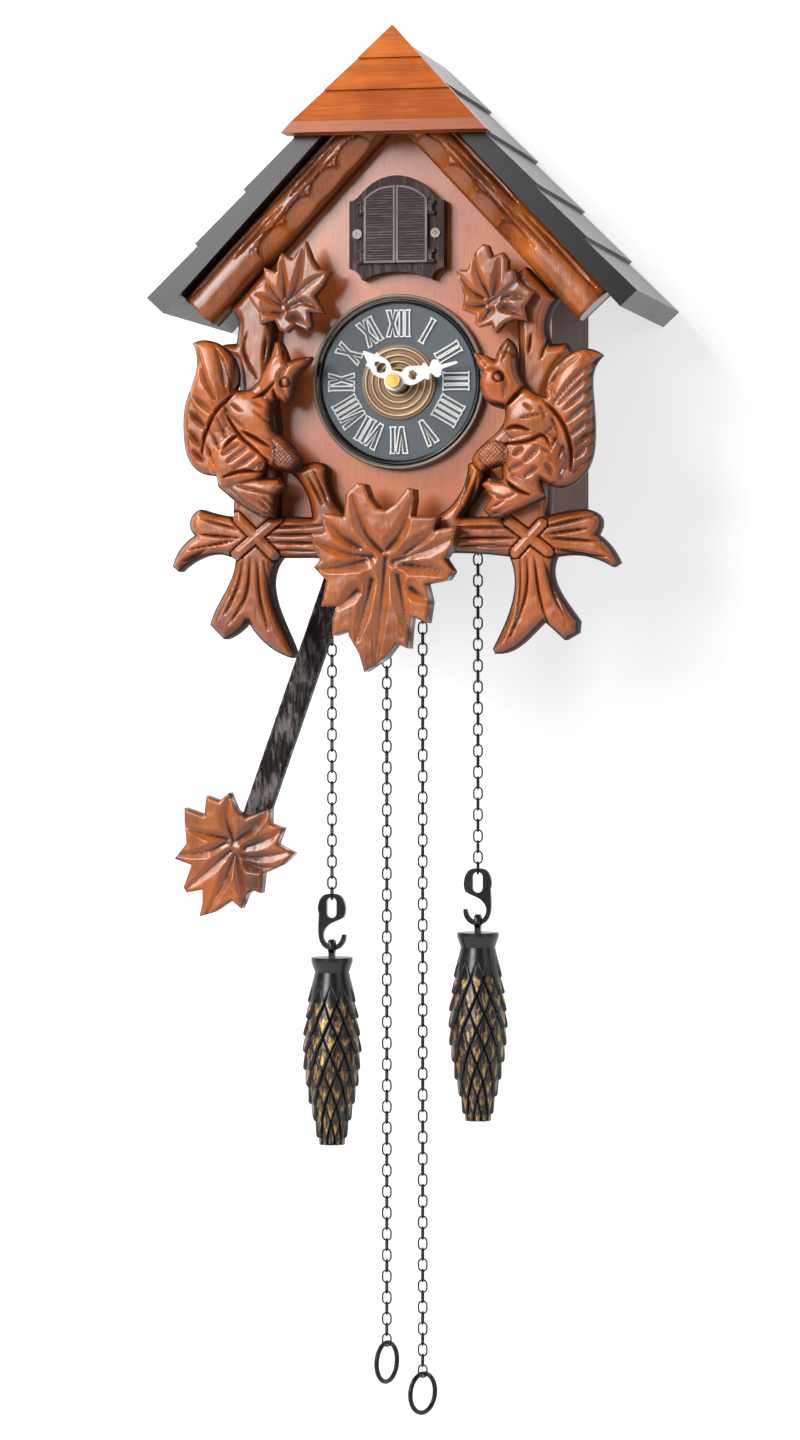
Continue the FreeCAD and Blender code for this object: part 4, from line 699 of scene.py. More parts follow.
def carve(name, relief, material, slot, body="case", step=GRAIN_STEP, proud=0.0):
    """Replace a sawn blank, or with proud lay a thin relief on it.

    relief(points, rim) gives each point's depth in millimetres and its share of stain and painted shade.
    """
    loops, front, back = front_outline(name)
    if proud:
        front, back = front - proud, front + LET_IN
    loops = [even_steps(loop, step) for loop in loops]
    low = np.min([loop.min(0) for loop in loops], axis=0)
    high = np.max([loop.max(0) for loop in loops], axis=0)
    rows = np.arange(low[1], high[1], step * ROW_HEIGHT)
    grid = np.array([(x + (row % 2) * step / 2, z) for row, z in enumerate(rows)
                     for x in np.arange(low[0], high[0], step)])
    within = np.zeros(len(grid), bool)
    for loop in loops:
        within ^= inside(grid, loop)
    grid = grid[within]
    grid = grid[nearest_rim(grid, loops) > RIM_CLEARANCE * step]
    rim_points, edges = [], []
    for loop in loops:
        first = len(rim_points)
        rim_points += list(loop)
        edges += [(first + k, first + (k + 1) % len(loop)) for k in range(len(loop))]
    flat = [Vector(p) for p in rim_points] + [Vector(p) for p in grid]
    placed, _, faces, _, _, _ = delaunay_2d_cdt(flat, edges, [], 1, 1e-7)
    points = np.array([tuple(p) for p in placed])
    drop, stain_and_shading = relief(points, nearest_rim(points, loops))
    drop = np.clip(drop, 0, DEEPEST * (back - front))
    # Painted shade in low points and a painted highlight on high ones.
    stain_and_shading = stain_and_shading + np.clip(cavity(drop, faces, len(points)) * CAVITY_SHADING, -0.5, 0.5)
    shape = bmesh.new()
    layer = shape.verts.layers.float.new("depth")
    verts = []
    for (x, z), sink, dark in zip(points, drop, np.clip(stain_and_shading, -0.6, 1.3)):
        vert = shape.verts.new((x * MM, (front + sink) * MM, z * MM))
        vert[layer] = dark
        verts.append(vert)
    for face in faces:
        shape.faces.new([verts[k] for k in face])
    rim = [edge for edge in shape.edges if len(edge.link_faces) == 1]
    made = bmesh.ops.extrude_edge_only(shape, edges=rim)["geom"]
    # The side walls down to the back get painted shade.
    for vert in (item for item in made if isinstance(item, bmesh.types.BMVert)):
        vert.co.y = back * MM
        vert[layer] = SIDE_WALL_SHADE
    rear = [item for item in made if isinstance(item, bmesh.types.BMEdge)]
    rear = [edge for edge in rear if all(abs(v.co.y - back * MM) < 1e-9 for v in edge.verts)]
    bmesh.ops.edgeloop_fill(shape, edges=rear)
    if proud:
        place_piece(shape, name + "_louvres", body, slot, material, CARVED_ANGLE)
    else:
        place_piece(shape, name + "_carved", body, slot, material, CARVED_ANGLE, name)


print("a point every", GRAIN_STEP, "mm on a carving")

# %% [markdown]
# ## The leaves
# Each vine leaf is dished between its veins. From the hub a V groove runs to the tip of every lobe, wide at
# the hub and closing outwards, and the wood between two grooves stands as a ridge, bright partly from a
# painted highlight.

# %% Leaves
DISH_DEPTH = 1.3
DISH_REACH = 12


def leaf(name, hub, veins, width, depth, body="case", slot="leaf_wood"):
    def relief(points, rim):
        cuts = gouges(points, veins, width, depth, "vein")
        reach = np.hypot(*(points - np.array(hub)).T)
        dish = DISH_DEPTH * np.clip(1 - reach / DISH_REACH, 0, 1)
        edge = bevel(rim, 1.5, 1.0)
        # Stain and painted shade gather in the vein bottoms and on the bevelled rim.
        return cuts + dish + edge, (cuts / depth) ** 4 * 0.75 + edge * 0.35
    carve(name, relief, leaf_wood, slot, body)


leaf("leaf_top_left", (-52, -61), [
    [(-50.5, -57), (-45, -49), (-42, -30.5)], [(-52, -55.5), (-52, -46), (-53, -35)],
    [(-50, -56.5), (-39.5, -48.5), (-29, -43)], [(-53, -58.5), (-57.5, -52.5), (-62, -45)],
    [(-53.5, -59), (-59, -55.5), (-65.5, -53.5)], [(-54, -62.5), (-59, -62), (-63.5, -62)],
    [(-49.5, -59.5), (-42.5, -56.5), (-34, -61.5)], [(-48, -64), (-43, -68), (-39, -70.5)]], 3.2, 2.3)
leaf("leaf_top_right", (47.5, -60), [
    [(47.5, -57), (41.5, -45.5), (40, -34)], [(49, -56), (51, -46.5), (52.5, -38.5)],
    [(44.5, -57), (37.5, -53), (32.5, -44.5)], [(47, -59), (55, -54.5), (62, -48.5)],
    [(54, -56.5), (59.5, -56), (65.5, -57.5)], [(54, -61), (59.5, -63.5), (64, -65.5)],
    [(45, -60.5), (39, -61), (33.5, -60)], [(47.5, -62.5), (45.5, -66.5), (40, -70)]], 3.2, 2.3)
leaf("leaf_bottom", (-2, -178.5), [
    [(-3.5, -176.5), (-9.5, -171), (-14, -162.5), (-17, -150.5)], [(-1, -175.5), (6, -167.5), (11.5, -152.5)],
    [(-8.5, -179), (-22, -177), (-34.5, -172)], [(-11.5, -180.5), (-23, -183.5), (-34, -185)],
    [(-14.5, -174.5), (-23, -169), (-30, -161.5)], [(2, -181), (19.5, -176), (34, -169.5)],
    [(8, -177.5), (15.5, -172), (24, -164.5)], [(7, -182.5), (20.5, -184.5), (32.5, -188)],
    [(-2, -179.5), (-3, -195), (-6, -230.5)], [(-8.5, -190), (-11.5, -204), (-15, -218.5)],
    [(4, -188), (7, -202.5), (10.5, -217.5)], [(-15.5, -195), (-20, -199), (-24.5, -203.5)],
    [(10.5, -194), (15.5, -197.5), (20.5, -201)]], 5.2, 3.6)
leaf("pendulum_leaf", (-88.5, -318), [
    [(-88.5, -316.5), (-93, -303.5), (-89, -292.5)], [(-87, -316), (-78, -309), (-69, -300.5)],
    [(-91, -315), (-102, -313), (-112, -309.5)], [(-92, -317), (-102, -322), (-116, -323)],
    [(-90, -321), (-100, -330), (-112, -340.5)], [(-88, -323), (-92, -334.5), (-101, -351.5)],
    [(-87, -323), (-85, -334.5), (-82, -347)], [(-85, -323), (-76, -324.5), (-56, -320.5)],
    [(-82, -319), (-72, -316), (-61, -309)], [(-82, -326.5), (-74, -329.5), (-67, -328.5)]],
    4.2, 2.8, "pendulum", "pendulum_leaf_plastic")

# %% [markdown]
# ## The branches
# Three arms leave a crossing on each side, bound by two straps in an X. Each arm is a rounded bar with
# three or four long V grooves; the rim falls away in a broad bevel, and stain and painted shade gather there,
# in the grooves and in the creases beside the straps.

# %% Branches
ARM_GROOVE = 1.5
ARM_BEVEL = 4.2
STRAP_RISE = 1.1
STRAP_HALF = 2.6
CREASE_PLACE = 2.8
CREASE_HALF = 0.9
CREASE_DEPTH = 1.2


def branch(name, arms, straps):
    def relief(points, rim):
        cuts = gouges(points, arms, 1.25, ARM_GROOVE)
        edge = bevel(rim, ARM_BEVEL, ARM_BEVEL)
        gaps = [along(points, strap)[0] for strap in straps]
        bands = np.max([1 - np.clip(gap / STRAP_HALF, 0, 1) for gap in gaps], axis=0)
        crease = np.max([np.clip(1 - abs(gap - CREASE_PLACE) / CREASE_HALF, 0, 1) for gap in gaps], axis=0)
        bare = bands <= 0
        drop = STRAP_RISE + cuts * bare + edge - STRAP_RISE * np.sqrt(bands) + crease * CREASE_DEPTH * bare
        # Stain and painted shade in the grooves, on the bevel and in the creases.
        return drop, cuts / ARM_GROOVE * 0.55 * bare + edge / ARM_BEVEL * 0.7 + crease * 0.5
    carve(name, relief, carved_wood, "carved_wood")


branch("branch_left", [
    [(-94.5, -160), (-76, -165.5)], [(-96, -167.5), (-75, -169.5)], [(-101, -175), (-77.5, -170.5)],
    [(-104.5, -181), (-91, -174)], [(-62.5, -164.5), (-33.5, -163.5)], [(-62.5, -168), (-33.5, -167.5)],
    [(-62.5, -171.5), (-33.5, -172)], [(-61.5, -175.5), (-33.5, -176)],
    [(-74, -177.5), (-76, -192), (-83, -206.5)],
    [(-70.5, -179), (-71.5, -194.5), (-75, -202.5), (-81, -211)], [(-67, -180), (-66, -199), (-61.5, -213.5)],
    [(-63.5, -180), (-61.5, -199), (-50.5, -223)], [(-71.5, -71), (-75, -79.5), (-66.5, -94)],
    [(-62.5, -72.5), (-64, -85.5)], [(-43, -139), (-34.5, -154)], [(-39.5, -137), (-32, -154)]],
    [[(-77, -159.5), (-59, -177.5)], [(-57, -160.5), (-77.5, -177.5)]])
branch("branch_right", [
    [(70.5, -165.5), (97, -159.5)], [(72, -168.5), (94.5, -165.5)], [(73, -170), (99.5, -172)],
    [(74, -175), (104, -179.5)], [(29.5, -165), (58.5, -165)], [(29.5, -170), (60, -170)],
    [(31, -173.5), (58.5, -174)], [(60.5, -178), (61, -196), (58, -213.5)],
    [(64, -178.5), (64.5, -197), (54, -221)],
    [(67.5, -178.5), (69.5, -197), (74, -211.5)], [(72, -178.5), (75.5, -196), (82.5, -208)],
    [(66, -73), (64.5, -83.5)], [(74, -74.5), (70.5, -86)], [(40.5, -140.5), (36, -153.5), (29.5, -161.5)],
    [(37, -139), (32, -154.5)]],
    [[(55, -162), (74, -176.5)], [(71, -163.5), (58.5, -177)]])

# %% [markdown]
# ## The squirrels
# Two squirrels face the dial, each gnawing a nut. Head, shoulder and haunch are left standing as rounded
# masses, the tail is parted from the back by a deep groove, and short scooped strokes lay the fur.

# %% Squirrels
GROUND = 3.4
EDGE_DEPTH = 3.2
PARTING_DEPTH = 2.6
STROKE_DEPTH = 1.9
NUT_HEIGHT = 2.6
NUT_LATTICE = 1.5
SOCKET_RADIUS = 2.3
EYE_RADIUS = 1.7


def squirrel(name, deep, fur, fine, nut, eye, masses):
    def relief(points, rim):
        edge = bevel(rim, 3.4, EDGE_DEPTH)
        body = np.max([height * mound(points, *oval) for height, *oval in masses], axis=0)
        parting = gouges(points, deep, 1.5, PARTING_DEPTH)
        strokes = gouges(points, fur, 2.3, STROKE_DEPTH)
        hairs = gouges(points, fine, 1.25, 1.1)
        shell = mound(points, *nut)
        rising, falling = points[:, 0] + points[:, 1], points[:, 0] - points[:, 1]
        lattice = np.abs(np.sin(rising * NUT_LATTICE) * np.sin(falling * NUT_LATTICE))
        gap = np.hypot(*(points - np.array(eye)).T)
        socket = np.clip(1 - abs(gap - SOCKET_RADIUS) / 0.8, 0, 1)
        ball = np.clip(1 - gap / EYE_RADIUS, 0, 1) ** 0.5
        cuts = np.maximum(np.maximum(parting, strokes), hairs)
        cuts = np.where(shell > 0.1, 0.5 * (1 - lattice), cuts)
        drop = GROUND + edge + cuts + socket - body - NUT_HEIGHT * shell - ball * 0.7
        # Stain and painted shade in the cuts, on the bevel and round the eye; the nut darkens towards its rim
        # as painted shade, and the raised masses get a painted highlight.
        stain_and_shading = parting / PARTING_DEPTH * 0.7 + (strokes / STROKE_DEPTH) ** 2 * 0.5 + hairs ** 2 * 0.5
        stain_and_shading = stain_and_shading + edge / EDGE_DEPTH * 0.5 + socket * 0.8 + (ball > 0.1) * 0.9
        return drop, np.where(shell > 0.1, (1 - lattice) * 0.6 + (1 - shell) * 0.4, stain_and_shading) - body * 0.07
    carve(name, relief, carved_wood, "carved_wood", step=0.5)


squirrel("squirrel_left", [
    [(-74, -99), (-79.5, -104.5), (-84.5, -109), (-88.5, -116.5), (-91, -122), (-92, -131.5)],
    [(-72, -118.5), (-66, -122), (-57.5, -127)], [(-79.5, -110.5), (-73.5, -121), (-66, -127), (-58.5, -134)],
    [(-81, -127.5), (-77, -122.5), (-72, -120)], [(-81.5, -141), (-72, -137.5), (-60, -138.5)],
    [(-66.5, -103.5), (-60, -100.5), (-55, -95)], [(-56.5, -98.5), (-55, -106.5)]], [
    [(-96, -101.5), (-85.5, -110.5)], [(-98, -109), (-89.5, -117.5)], [(-98.5, -118), (-91.5, -126.5)],
    [(-96.5, -127.5), (-90.5, -133.5)], [(-93, -79.5), (-90.5, -93), (-84.5, -104)],
    [(-85, -79), (-81.5, -88.5), (-80, -98)], [(-76.5, -84), (-76, -92), (-77, -98)],
    [(-81.5, -130), (-72, -124.5)], [(-79, -134), (-67, -125)], [(-76, -137.5), (-63.5, -129)],
    [(-68.5, -138.5), (-61.5, -134)], [(-48.5, -87), (-54, -93), (-51.5, -101), (-49, -105.5)]], [
    [(-80.5, -106.5), (-78, -112.5)], [(-84.5, -111), (-80, -122)], [(-87.5, -118.5), (-82.5, -128)],
    [(-90, -124), (-85, -135)], [(-77, -105.5), (-71, -110)], [(-77.5, -111), (-68.5, -118.5)],
    [(-66.5, -105), (-60, -108)], [(-66, -109), (-57.5, -116)], [(-52.5, -79.5), (-51, -86)],
    [(-44, -90), (-37, -86)], [(-75, -144), (-60, -141), (-49.5, -142.5)],
    [(-75, -144.5), (-61, -148), (-51.5, -150)], [(-63.5, -152), (-56.5, -158.5)],
    [(-61.5, -150), (-54.5, -156)], [(-79.5, -144.5), (-68.5, -154), (-57.5, -159.5)]],
    ((-50.5, -131.2), (7.2, 6.6), -25), (-50.5, -96), [
    (3.4, (-50, -95), (13, 13), 0), (3.2, (-68, -112), (15, 11), -35), (3.4, (-72, -132), (17, 13), 25),
    (2.8, (-88, -97), (10, 22), 12), (2.4, (-63, -149), (17, 9), -10)])
squirrel("squirrel_right", [
    [(73, -105), (81, -113), (85, -120), (87, -129.5), (86.5, -139.5)],
    [(55, -119.5), (60.5, -117.5), (68, -120)], [(54, -126), (66.5, -125.5), (74, -121), (77.5, -128)],
    [(55, -142), (60.5, -148), (68.5, -150.5)], [(56, -108), (60.5, -103.5), (64.5, -98.5)],
    [(47.5, -106.5), (55, -108)]], [
    [(101, -85), (89.5, -94), (79, -107)], [(98, -91), (89.5, -100), (81, -108)], [(98, -98), (83.5, -110.5)],
    [(98, -105), (84, -116.5)], [(98, -113), (85.5, -123.5)], [(98, -119), (88, -127)],
    [(97, -125), (88, -133)],
    [(96, -132), (87.5, -140)], [(91.5, -84.5), (82, -90.5), (76, -100)], [(59.5, -131.5), (64.5, -128)],
    [(64.5, -135), (72.5, -127)], [(57, -138.5), (64.5, -135)], [(64.5, -142), (71.5, -136.5)],
    [(75, -135), (78.5, -141)], [(46.5, -92), (50.5, -90), (56, -96), (55, -104.5)]], [
    [(77.5, -113), (81, -122.5)], [(81, -120), (77.5, -129.5)], [(83.5, -126), (81, -134)],
    [(84.5, -134), (81, -142)], [(64.5, -107), (69, -110.5)], [(63, -114), (76, -111.5)],
    [(72.5, -108), (75, -115)], [(69, -126.5), (78, -130.5)], [(57.5, -78), (54, -88)],
    [(41.5, -83.5), (47, -90)], [(45, -143), (56, -144.5), (66.5, -149.5)],
    [(46.5, -148), (55, -152.5), (63, -148)], [(46, -157.5), (56, -152.5)], [(46.5, -160), (59.5, -155)],
    [(70.5, -155), (78.5, -154)]],
    ((50, -131), (7.6, 6.4), 20), (52.5, -94.5), [
    (3.4, (52, -95), (13, 13), 0), (3.2, (68, -112), (15, 11), 35), (3.4, (70, -133), (15, 13), -25),
    (2.8, (88, -105), (11, 24), -8), (2.4, (60, -150), (16, 9), 8)])

# %% [markdown]
# ## The logs under the eaves
# Two half-round logs follow the gable. A swept shape suits them better than a flat relief: rows of points
# run along each log, and across it they follow a rounded front. Long lens cuts imitate bark, and four
# scoops from a wide gouge bite into the inner edge.

# %% Gable logs
LOG_SLOPE = math.radians(47)
LOG_WIDTH = 19.0
LOG_ROUND = 8.55
LOG_CORE = 4
SCOOPS = (45, 64, 82, 101)
SCOOP_DEPTH = 4.2
BARK_DEPTH = 2.0
BARK_CUTS = [[(148, 3.2), (96, 3.6)], [(113, 10.6), (48, 9.6)], [(92, 2.6), (38, 3.0)],
             [(80, 6.4), (47, 6.6)], [(120, 6.8), (86, 7.2)], [(44, 11.5), (26, 10.5)]]


def skin(shape, first, second):
    """A band of faces between two rings that have as many points each."""
    for k in range(len(first)):
        following = (k + 1) % len(first)
        shape.faces.new((first[k], first[following], second[following], second[k]))


def gable_log(name, side):
    low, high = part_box(name)
    rows, columns = 300, 40
    peak = high.z / MM
    reach = (peak - low.z / MM - LOG_WIDTH * math.cos(LOG_SLOPE)) / math.sin(LOG_SLOPE)
    front, back = low.y / MM, high.y / MM
    across = np.linspace(0, LOG_WIDTH, columns)
    share = np.linspace(0, 1, rows)
    v, way = np.meshgrid(across, share)
    start = v * math.tan(LOG_SLOPE)
    u = start + (reach - start) * way
    points = np.column_stack([u.ravel(), v.ravel()])
    round_off = LOG_ROUND * (1 - np.sqrt(1 - np.abs(2 * points[:, 1] / LOG_WIDTH - 1) ** 2.4 * 0.98))
    bark = gouges(points, BARK_CUTS, 1.5, BARK_DEPTH)
    scoop = np.max([mound(points, (at, LOG_WIDTH - 3.2), (10.2, 6.6)) for at in SCOOPS], axis=0)
    scoop = scoop * SCOOP_DEPTH
    lip = 1.1 * np.clip(1 - (reach - points[:, 0]) / 1.2, 0, 1)
    sunk = np.maximum(round_off, 0) + bark * (scoop < 0.05)
    sunk = sunk + scoop * np.clip(1.1 - round_off / 12, 0, 1) + lip
    sunk = np.clip(sunk, 0, back - front - LOG_CORE)
    # Stain and painted shade in the bark cuts and scoops, and painted shade towards both rounded edges; the
    # end face stays light.
    dark = (bark / BARK_DEPTH) ** 1.5 * 0.8 + (scoop > 0.05) * 0.15 + (round_off / LOG_ROUND) ** 2 * 0.4
    dark[-columns:] = 0.05
    x = side * (points[:, 0] * math.cos(LOG_SLOPE) - points[:, 1] * math.sin(LOG_SLOPE))
    z = peak - points[:, 0] * math.sin(LOG_SLOPE) - points[:, 1] * math.cos(LOG_SLOPE)
    shape = bmesh.new()
    layer = shape.verts.layers.float.new("depth")
    grid = []
    for row in range(rows):
        line = []
        for column in range(columns):
            k = row * columns + column
            vert = shape.verts.new((x[k] * MM, (front + sunk[k]) * MM, z[k] * MM))
            vert[layer] = dark[k]
            line.append(vert)
        # The back edges of each row get full painted shade.
        for k in (row * columns + columns - 1, row * columns):
            vert = shape.verts.new((x[k] * MM, back * MM, z[k] * MM))
            vert[layer] = 1.1
            line.append(vert)
        grid.append(line)
    for first, second in zip(grid, grid[1:]):
        skin(shape, first, second)
    shape.faces.new(grid[0])
    shape.faces.new(grid[-1])
    place_piece(shape, name + "_turned", "case", "log_wood", log_wood, 40, name)


gable_log("gable_log_left", -1)
gable_log("gable_log_right", 1)

# %% [markdown]
# ## Turned pieces
# The dial's rings and the weights are bodies of revolution. A lathe function turns a profile round an axis.
# A spin of a curve object could do it, but turning the points directly also lets a pattern vary round the
# piece, which the cones need.

# %% The lathe
THINNEST = 0.02


def lathe(centre, axis, profile, steps, pattern=None):
    """The turned shape and its rings. profile holds (radius, place along the axis) in millimetres.

    pattern(angle, place) gives what is added to the radius, and the crest.
    """
    profile = np.array(profile, float)
    angles = np.linspace(0, 2 * math.pi, steps, endpoint=False)
    shape = bmesh.new()
    layer = shape.verts.layers.float.new("crest")
    rings = []
    turned, level = np.meshgrid(angles, profile[:, 1])
    plain = np.zeros_like(turned)
    lift, bright = pattern(turned, level) if pattern else (plain, plain)
    for row, (radius, along_axis) in enumerate(profile):
        ring = []
        for column, angle in enumerate(angles):
            r = max(radius + lift[row, column], THINNEST)
            a, b = r * math.cos(angle), r * math.sin(angle)
            place = (a, along_axis, b) if axis == "y" else (a, b, along_axis)
            vert = shape.verts.new([(c + p) * MM for c, p in zip(centre, place)])
            vert[layer] = bright[row, column]
            ring.append(vert)
        rings.append(ring)
    for first, second in zip(rings, rings[1:]):
        skin(shape, first, second)
    return shape, rings


trial, trial_rings = lathe((0, 0, 0), "y", [(10, 0), (10, 1)], 8)
print("a hoop turned in", len(trial_rings[0]), "steps has", len(trial.verts), "points")
trial.free()

# %% [markdown]
# The bezel is a rounded beige ring, and inside it a black ring steps down to the plate in two mouldings
# with a fine bead, which catches a thin line of light.

# %% Bezel, rim and centre
SEAM = 0.05
HUB_BORE = 5.4
FOIL_RINGS = 4.0
FOIL_RELIEF = 0.28


def dial_ring(name, profile, slot, material):
    low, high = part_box(name)
    centre = (0, 0, (low.z + high.z) / 2 / MM)
    shape, rings = lathe(centre, "y", profile, 200)
    skin(shape, rings[-1], rings[0])
    place_piece(shape, name + "_turned", "case", slot, material, 50, name)


def bow(radius_in, radius_out, foot, crown, count=9):
    """A rounded moulding from the inner foot over the crown to the outer foot."""
    middle, half = (radius_in + radius_out) / 2, (radius_out - radius_in) / 2
    return [(middle - half * math.cos(t), foot - (foot - crown) * math.sin(t))
            for t in np.linspace(0, math.pi, count)]


def dial_pieces():
    low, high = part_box("dial_bezel")
    outer, back, front = high.x / MM, high.y / MM, low.y / MM
    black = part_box("dial_rim")
    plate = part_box("dial_plate")[1].x / MM
    inner = black[1].x / MM
    bezel = [(inner + SEAM, back)] + bow(inner + SEAM, outer, front + 1.0, front) + [(outer, back)]
    dial_ring("dial_bezel", bezel, "bezel_plastic", bezel_plastic)
    top = black[0].y / MM
    start = plate + 0.02
    bead = bow(start, plate + 0.7, top + 2.4, top + 2.0, 7)
    crown = bow(plate + 0.8, inner - 0.5, top + 1.2, top)
    rim = [(start, back), (start, top + 2.6)] + bead + crown
    rim += [(inner - SEAM, top + 1.2), (inner - SEAM, back)]
    dial_ring("dial_rim", rim, "rim_plastic", rim_plastic)


def centre_disc():
    low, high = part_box("dial_centre")
    radius, front, back = high.x / MM, low.y / MM, high.y / MM
    radii = np.linspace(HUB_BORE, radius - 0.1, 90)
    wave = np.abs(np.sin((radii - HUB_BORE) / (radius - HUB_BORE) * math.pi * FOIL_RINGS + 0.4)) ** 7
    face = [(r, front + FOIL_RELIEF - FOIL_RELIEF * w) for r, w in zip(radii, wave)]
    centre = (0, 0, (low.z + high.z) / 2 / MM)
    shape, rings = lathe(centre, "y", [(HUB_BORE, back)] + face + [(radius, back)], 160)
    layer = shape.verts.layers.float["crest"]
    # crest here is the painted highlight on each ring's crest.
    for ring, bright in zip(rings[1:-1], wave):
        for vert in ring:
            vert[layer] = float(bright)
    skin(shape, rings[-1], rings[0])
    place_piece(shape, "dial_centre_turned", "case", "centre_foil", foil, 60, "dial_centre")


dial_pieces()
centre_disc()

# %% [markdown]
# The numerals are moulded as hollow outlines, all with their feet to the centre. Each letter is a closed line
# that becomes a flat ribbon. A font would need a file and would fill the letters in.

# %% Numerals
LETTERS = {
    "I": (2.9, [(-1.4, 0), (1.4, 0), (1.0, 1.2), (1.0, 6.3), (1.0, 11.4), (1.4, 12.6), (-1.4, 12.6),
                (-1.0, 11.4), (-1.0, 6.3), (-1.0, 1.2)]),
    "V": (5.6, [(-3.0, 12.6), (-0.7, 12.6), (0.1, 3.6), (1.3, 12.6), (3.0, 12.6), (1.0, 0), (-1.0, 0)]),
    "X": (5.6, [(-3.0, 12.6), (-0.8, 12.6), (0, 8.2), (1.1, 12.6), (3.0, 12.6), (1.15, 6.3), (3.0, 0),
                (1.0, 0), (0, 4.3), (-1.1, 0), (-3.0, 0), (-1.15, 6.3)]),
}
HOURS = ["XII", "I", "II", "III", "IIII", "V", "VI", "VII", "VIII", "IX", "X", "XI"]
LETTER_HEIGHT = 12.6
WORD_WIDTH = 12.6
RIBBON = 0.38
EASED = 0.2


def ribbon(shape, outline, front, back, place):
    """A closed line of square section, RIBBON to each side, with its upper edges eased."""
    outline = np.array(outline, float)
    before, after = outline - np.roll(outline, 1, 0), np.roll(outline, -1, 0) - outline
    before /= np.hypot(*before.T)[:, None]
    after /= np.hypot(*after.T)[:, None]
    across = np.column_stack([before[:, 1] + after[:, 1], -before[:, 0] - after[:, 0]])
    across /= np.maximum((across ** 2).sum(1) / 2, 0.7)[:, None]
    section = [(-1, back), (-1, front + EASED), (-0.6, front), (0.6, front), (1, front + EASED), (1, back)]
    loops = []
    for side, level in section:
        moved = outline + across * side * RIBBON
        loops.append([shape.verts.new((x * MM, level * MM, z * MM)) for x, z in (place(*p) for p in moved)])
    for first, second in zip(loops, loops[1:] + loops[:1]):
        skin(shape, first, second)


def numerals():
    low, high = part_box("dial_numerals")
    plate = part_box("dial_plate")
    middle = (plate[0].z + plate[1].z) / 2 / MM
    outer = high.z / MM - middle
    foot = outer - LETTER_HEIGHT
    shape = bmesh.new()
    for hour, word in enumerate(HOURS):
        turn = math.radians(30 * hour)
        total = sum(LETTERS[letter][0] for letter in word)
        squeeze = min(1.0, WORD_WIDTH / total)
        start = -total / 2
        for letter in word:
            advance, outline = LETTERS[letter]
            centre = start + advance / 2
            start += advance

            def place(u, v, centre=centre, turn=turn, squeeze=squeeze):
                u, v = (u + centre) * squeeze, foot + v
                x = v * math.sin(turn) + u * math.cos(turn)
                return x, middle + v * math.cos(turn) - u * math.sin(turn)

            ribbon(shape, outline, low.y / MM, high.y / MM, place)
    place_piece(shape, "dial_numerals_moulded", "case", "white_plastic", numeral_plastic, 30, "dial_numerals")


numerals()

# %% [markdown]
# ## The cone weights
# The scales form a diamond lattice. Two slanting families of lines divide the cone, and in each diamond the
# surface climbs from the upper point to the lower one and then drops to the next scale, as shingles do. The
# neck stays smooth and black.

# %% Cones
SCALES_ROUND = 11
SCALE_ROW = 8.2
FLANGE = 7.2
NECK = 13
FADE = 9
PATTERN_ABOVE_NECK = 8
SCALE_CLIMB = 2.3
SCALE_SUNK = 1.9
SCALE_CREASE = 0.6
EYE_THICK = 3.0
EYE_HOLE = 2.2
EYE_WALL = 1.3
EYE_EASE = 0.35
POST_DEPTH = 3.4


def diamond(turned, level, top):
    """Height of a scale, 0 to 1, and how far inside its outline a point lies."""
    u = turned / (2 * math.pi) * SCALES_ROUND
    v = (top - level) / SCALE_ROW
    p, q = u + v / 2, u - v / 2
    p, q = p - np.floor(p), q - np.floor(q)
    climb = (p - q + 1) / 2
    edge = np.minimum(np.minimum(p, 1 - p), np.minimum(q, 1 - q))
    return climb, edge


def cone(name, body):
    mesh = nodes[name].data
    places = np.array([tuple(v.co) for v in mesh.vertices]) / MM
    low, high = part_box(name)
    x, y = (low.x + high.x) / 2 / MM, (low.y + high.y) / 2 / MM
    flange = high.z / MM - FLANGE
    off = np.hypot(places[:, 0] - x, places[:, 1] - y)
    levels = sorted({round(float(z), 1) for z in places[places[:, 2] < flange][:, 2]})
    widest = [off[np.abs(places[:, 2] - z) < 0.1].max() for z in levels]
    z = np.linspace(levels[0], levels[-1], 330)
    radius = np.interp(z, levels, widest)
    neck = levels[-1] - NECK

    def scales(turned, level):
        climb, edge = diamond(turned, level, neck + PATTERN_ABOVE_NECK)
        fade = np.clip((neck - level) / FADE, 0, 1)
        plate = climb ** 1.2 * SCALE_CLIMB - SCALE_SUNK - SCALE_CREASE * np.clip(1 - edge / 0.07, 0, 1)
        return plate * fade, fade * (0.35 + 0.65 * climb) * np.clip(edge / 0.16, 0, 1)

    shape, rings = lathe((x, y, 0), "z", list(zip(radius, z)), 220, scales)
    shape.faces.new(rings[0])
    shape.faces.new(rings[-1])
    add_eye(shape, x, y, levels[-1], high.z / MM)
    place_piece(shape, name + "_cast", body, "cone_paint", cone_paint, 50, name)


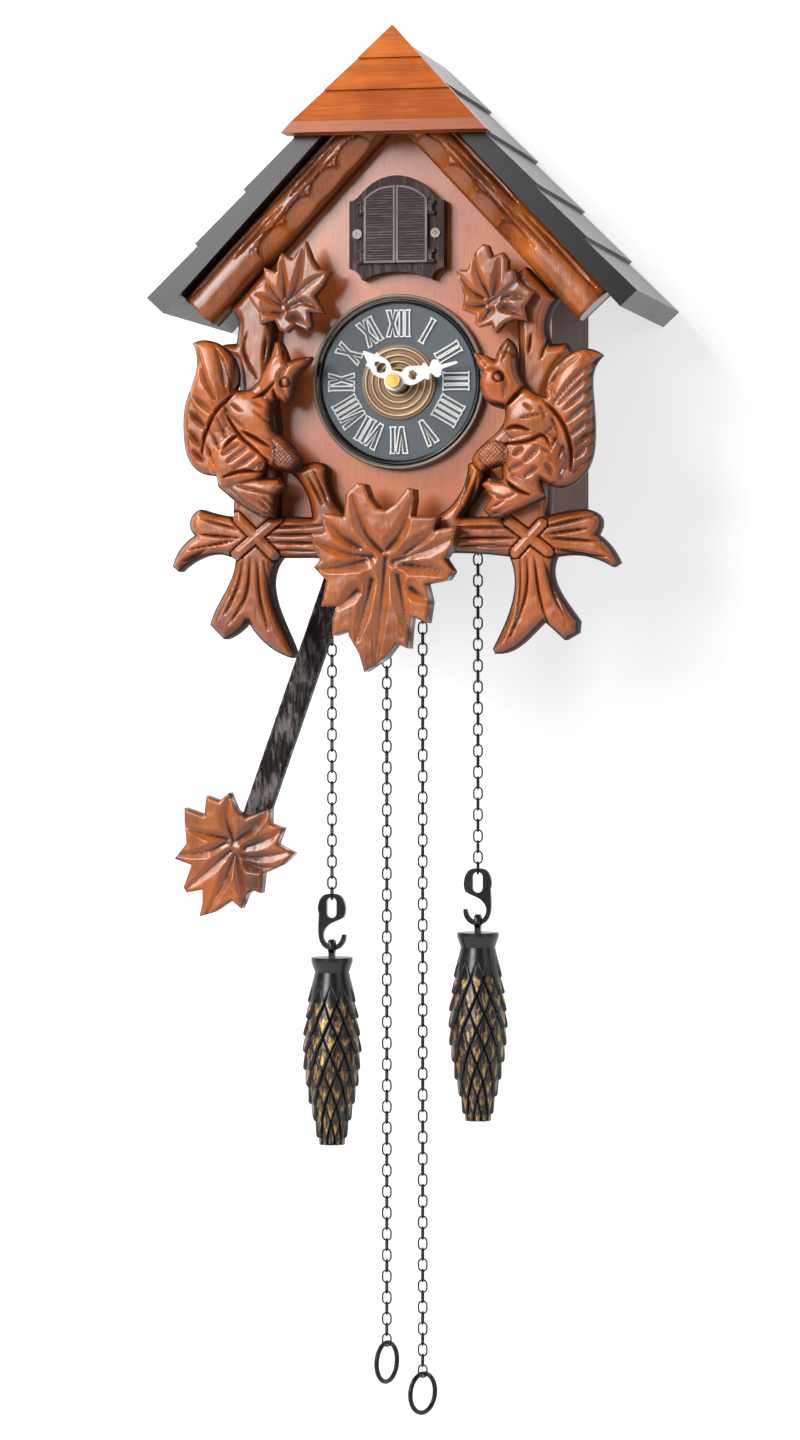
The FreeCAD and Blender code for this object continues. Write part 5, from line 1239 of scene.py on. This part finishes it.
def add_eye(shape, x, y, foot, top):
    """A post with a rounded head and a cross hole, which the hook passes through."""
    outer = EYE_HOLE + EYE_WALL
    middle = top - outer
    steps = 40
    half = EYE_THICK / 2
    eased = half - EYE_EASE
    mouth = EYE_HOLE + EYE_EASE
    section = [(-half, outer - EYE_EASE), (-eased, outer), (eased, outer), (half, outer - EYE_EASE),
               (half, mouth), (eased, EYE_HOLE), (-eased, EYE_HOLE), (-half, mouth)]
    turns = [2 * math.pi * k / steps for k in range(steps)]
    loops = []
    for side, radius in section:
        loops.append([shape.verts.new(((x + side) * MM, (y + radius * math.cos(t)) * MM,
                                       (middle + radius * math.sin(t)) * MM)) for t in turns])
    for first, second in zip(loops, loops[1:] + loops[:1]):
        skin(shape, first, second)
    post = bmesh.ops.create_cube(shape, size=1)["verts"]
    bottom, height = foot - 0.5, middle - EYE_HOLE - foot + 0.2
    for vert in post:
        vert.co = Vector(((x + vert.co.x * EYE_THICK * 0.96) * MM, (y + vert.co.y * POST_DEPTH) * MM,
                          (bottom + (vert.co.z + 0.5) * (height + 0.5)) * MM))


cone("cone_weight_left", "cone_left")
cone("cone_weight_right", "cone_right")

# %% [markdown]
# ## Pendulum rod and bird doors
# The rod is moulded with a chamfered edge and a swirling grain, so it is carved like the leaves but only a
# fraction of a millimetre deep. Each bird door has a raised border round narrow slats, which lean like
# shingles. They are a thin relief, laid on the door, so that its ears and hinges stay.

# %% Rod and doors
SWIRL_DEPTH = 0.12
SLAT = 1.25
SLAT_DEPTH = 0.22
SLAT_LEAN = 0.16
DOOR_BORDER = 1.15


def swirled(points, rim):
    swirl = np.sin(points[:, 0] * 2.4 + 1.6 * np.sin(points[:, 1] * 0.22) + 1.2 * np.sin(points[:, 1] * 0.07))
    edge = bevel(rim, 1.3, 1.1)
    return edge + SWIRL_DEPTH * (swirl + 1), 0.2 * edge


def louvred(points, rim):
    panel = rim > DOOR_BORDER
    lean = (points[:, 1] / SLAT) % 1.0
    return np.where(panel, SLAT_DEPTH + SLAT_LEAN * lean, bevel(rim, 0.3, 0.1)), panel * 1.0


carve("pendulum_rod", swirled, rod_plastic, "rod_plastic", "pendulum", 0.55)
carve("door_left", louvred, louvres, "door_plastic", "shutter_left", 0.25, 0.33)
carve("door_right", louvred, louvres, "door_plastic", "shutter_right", 0.25, 0.33)
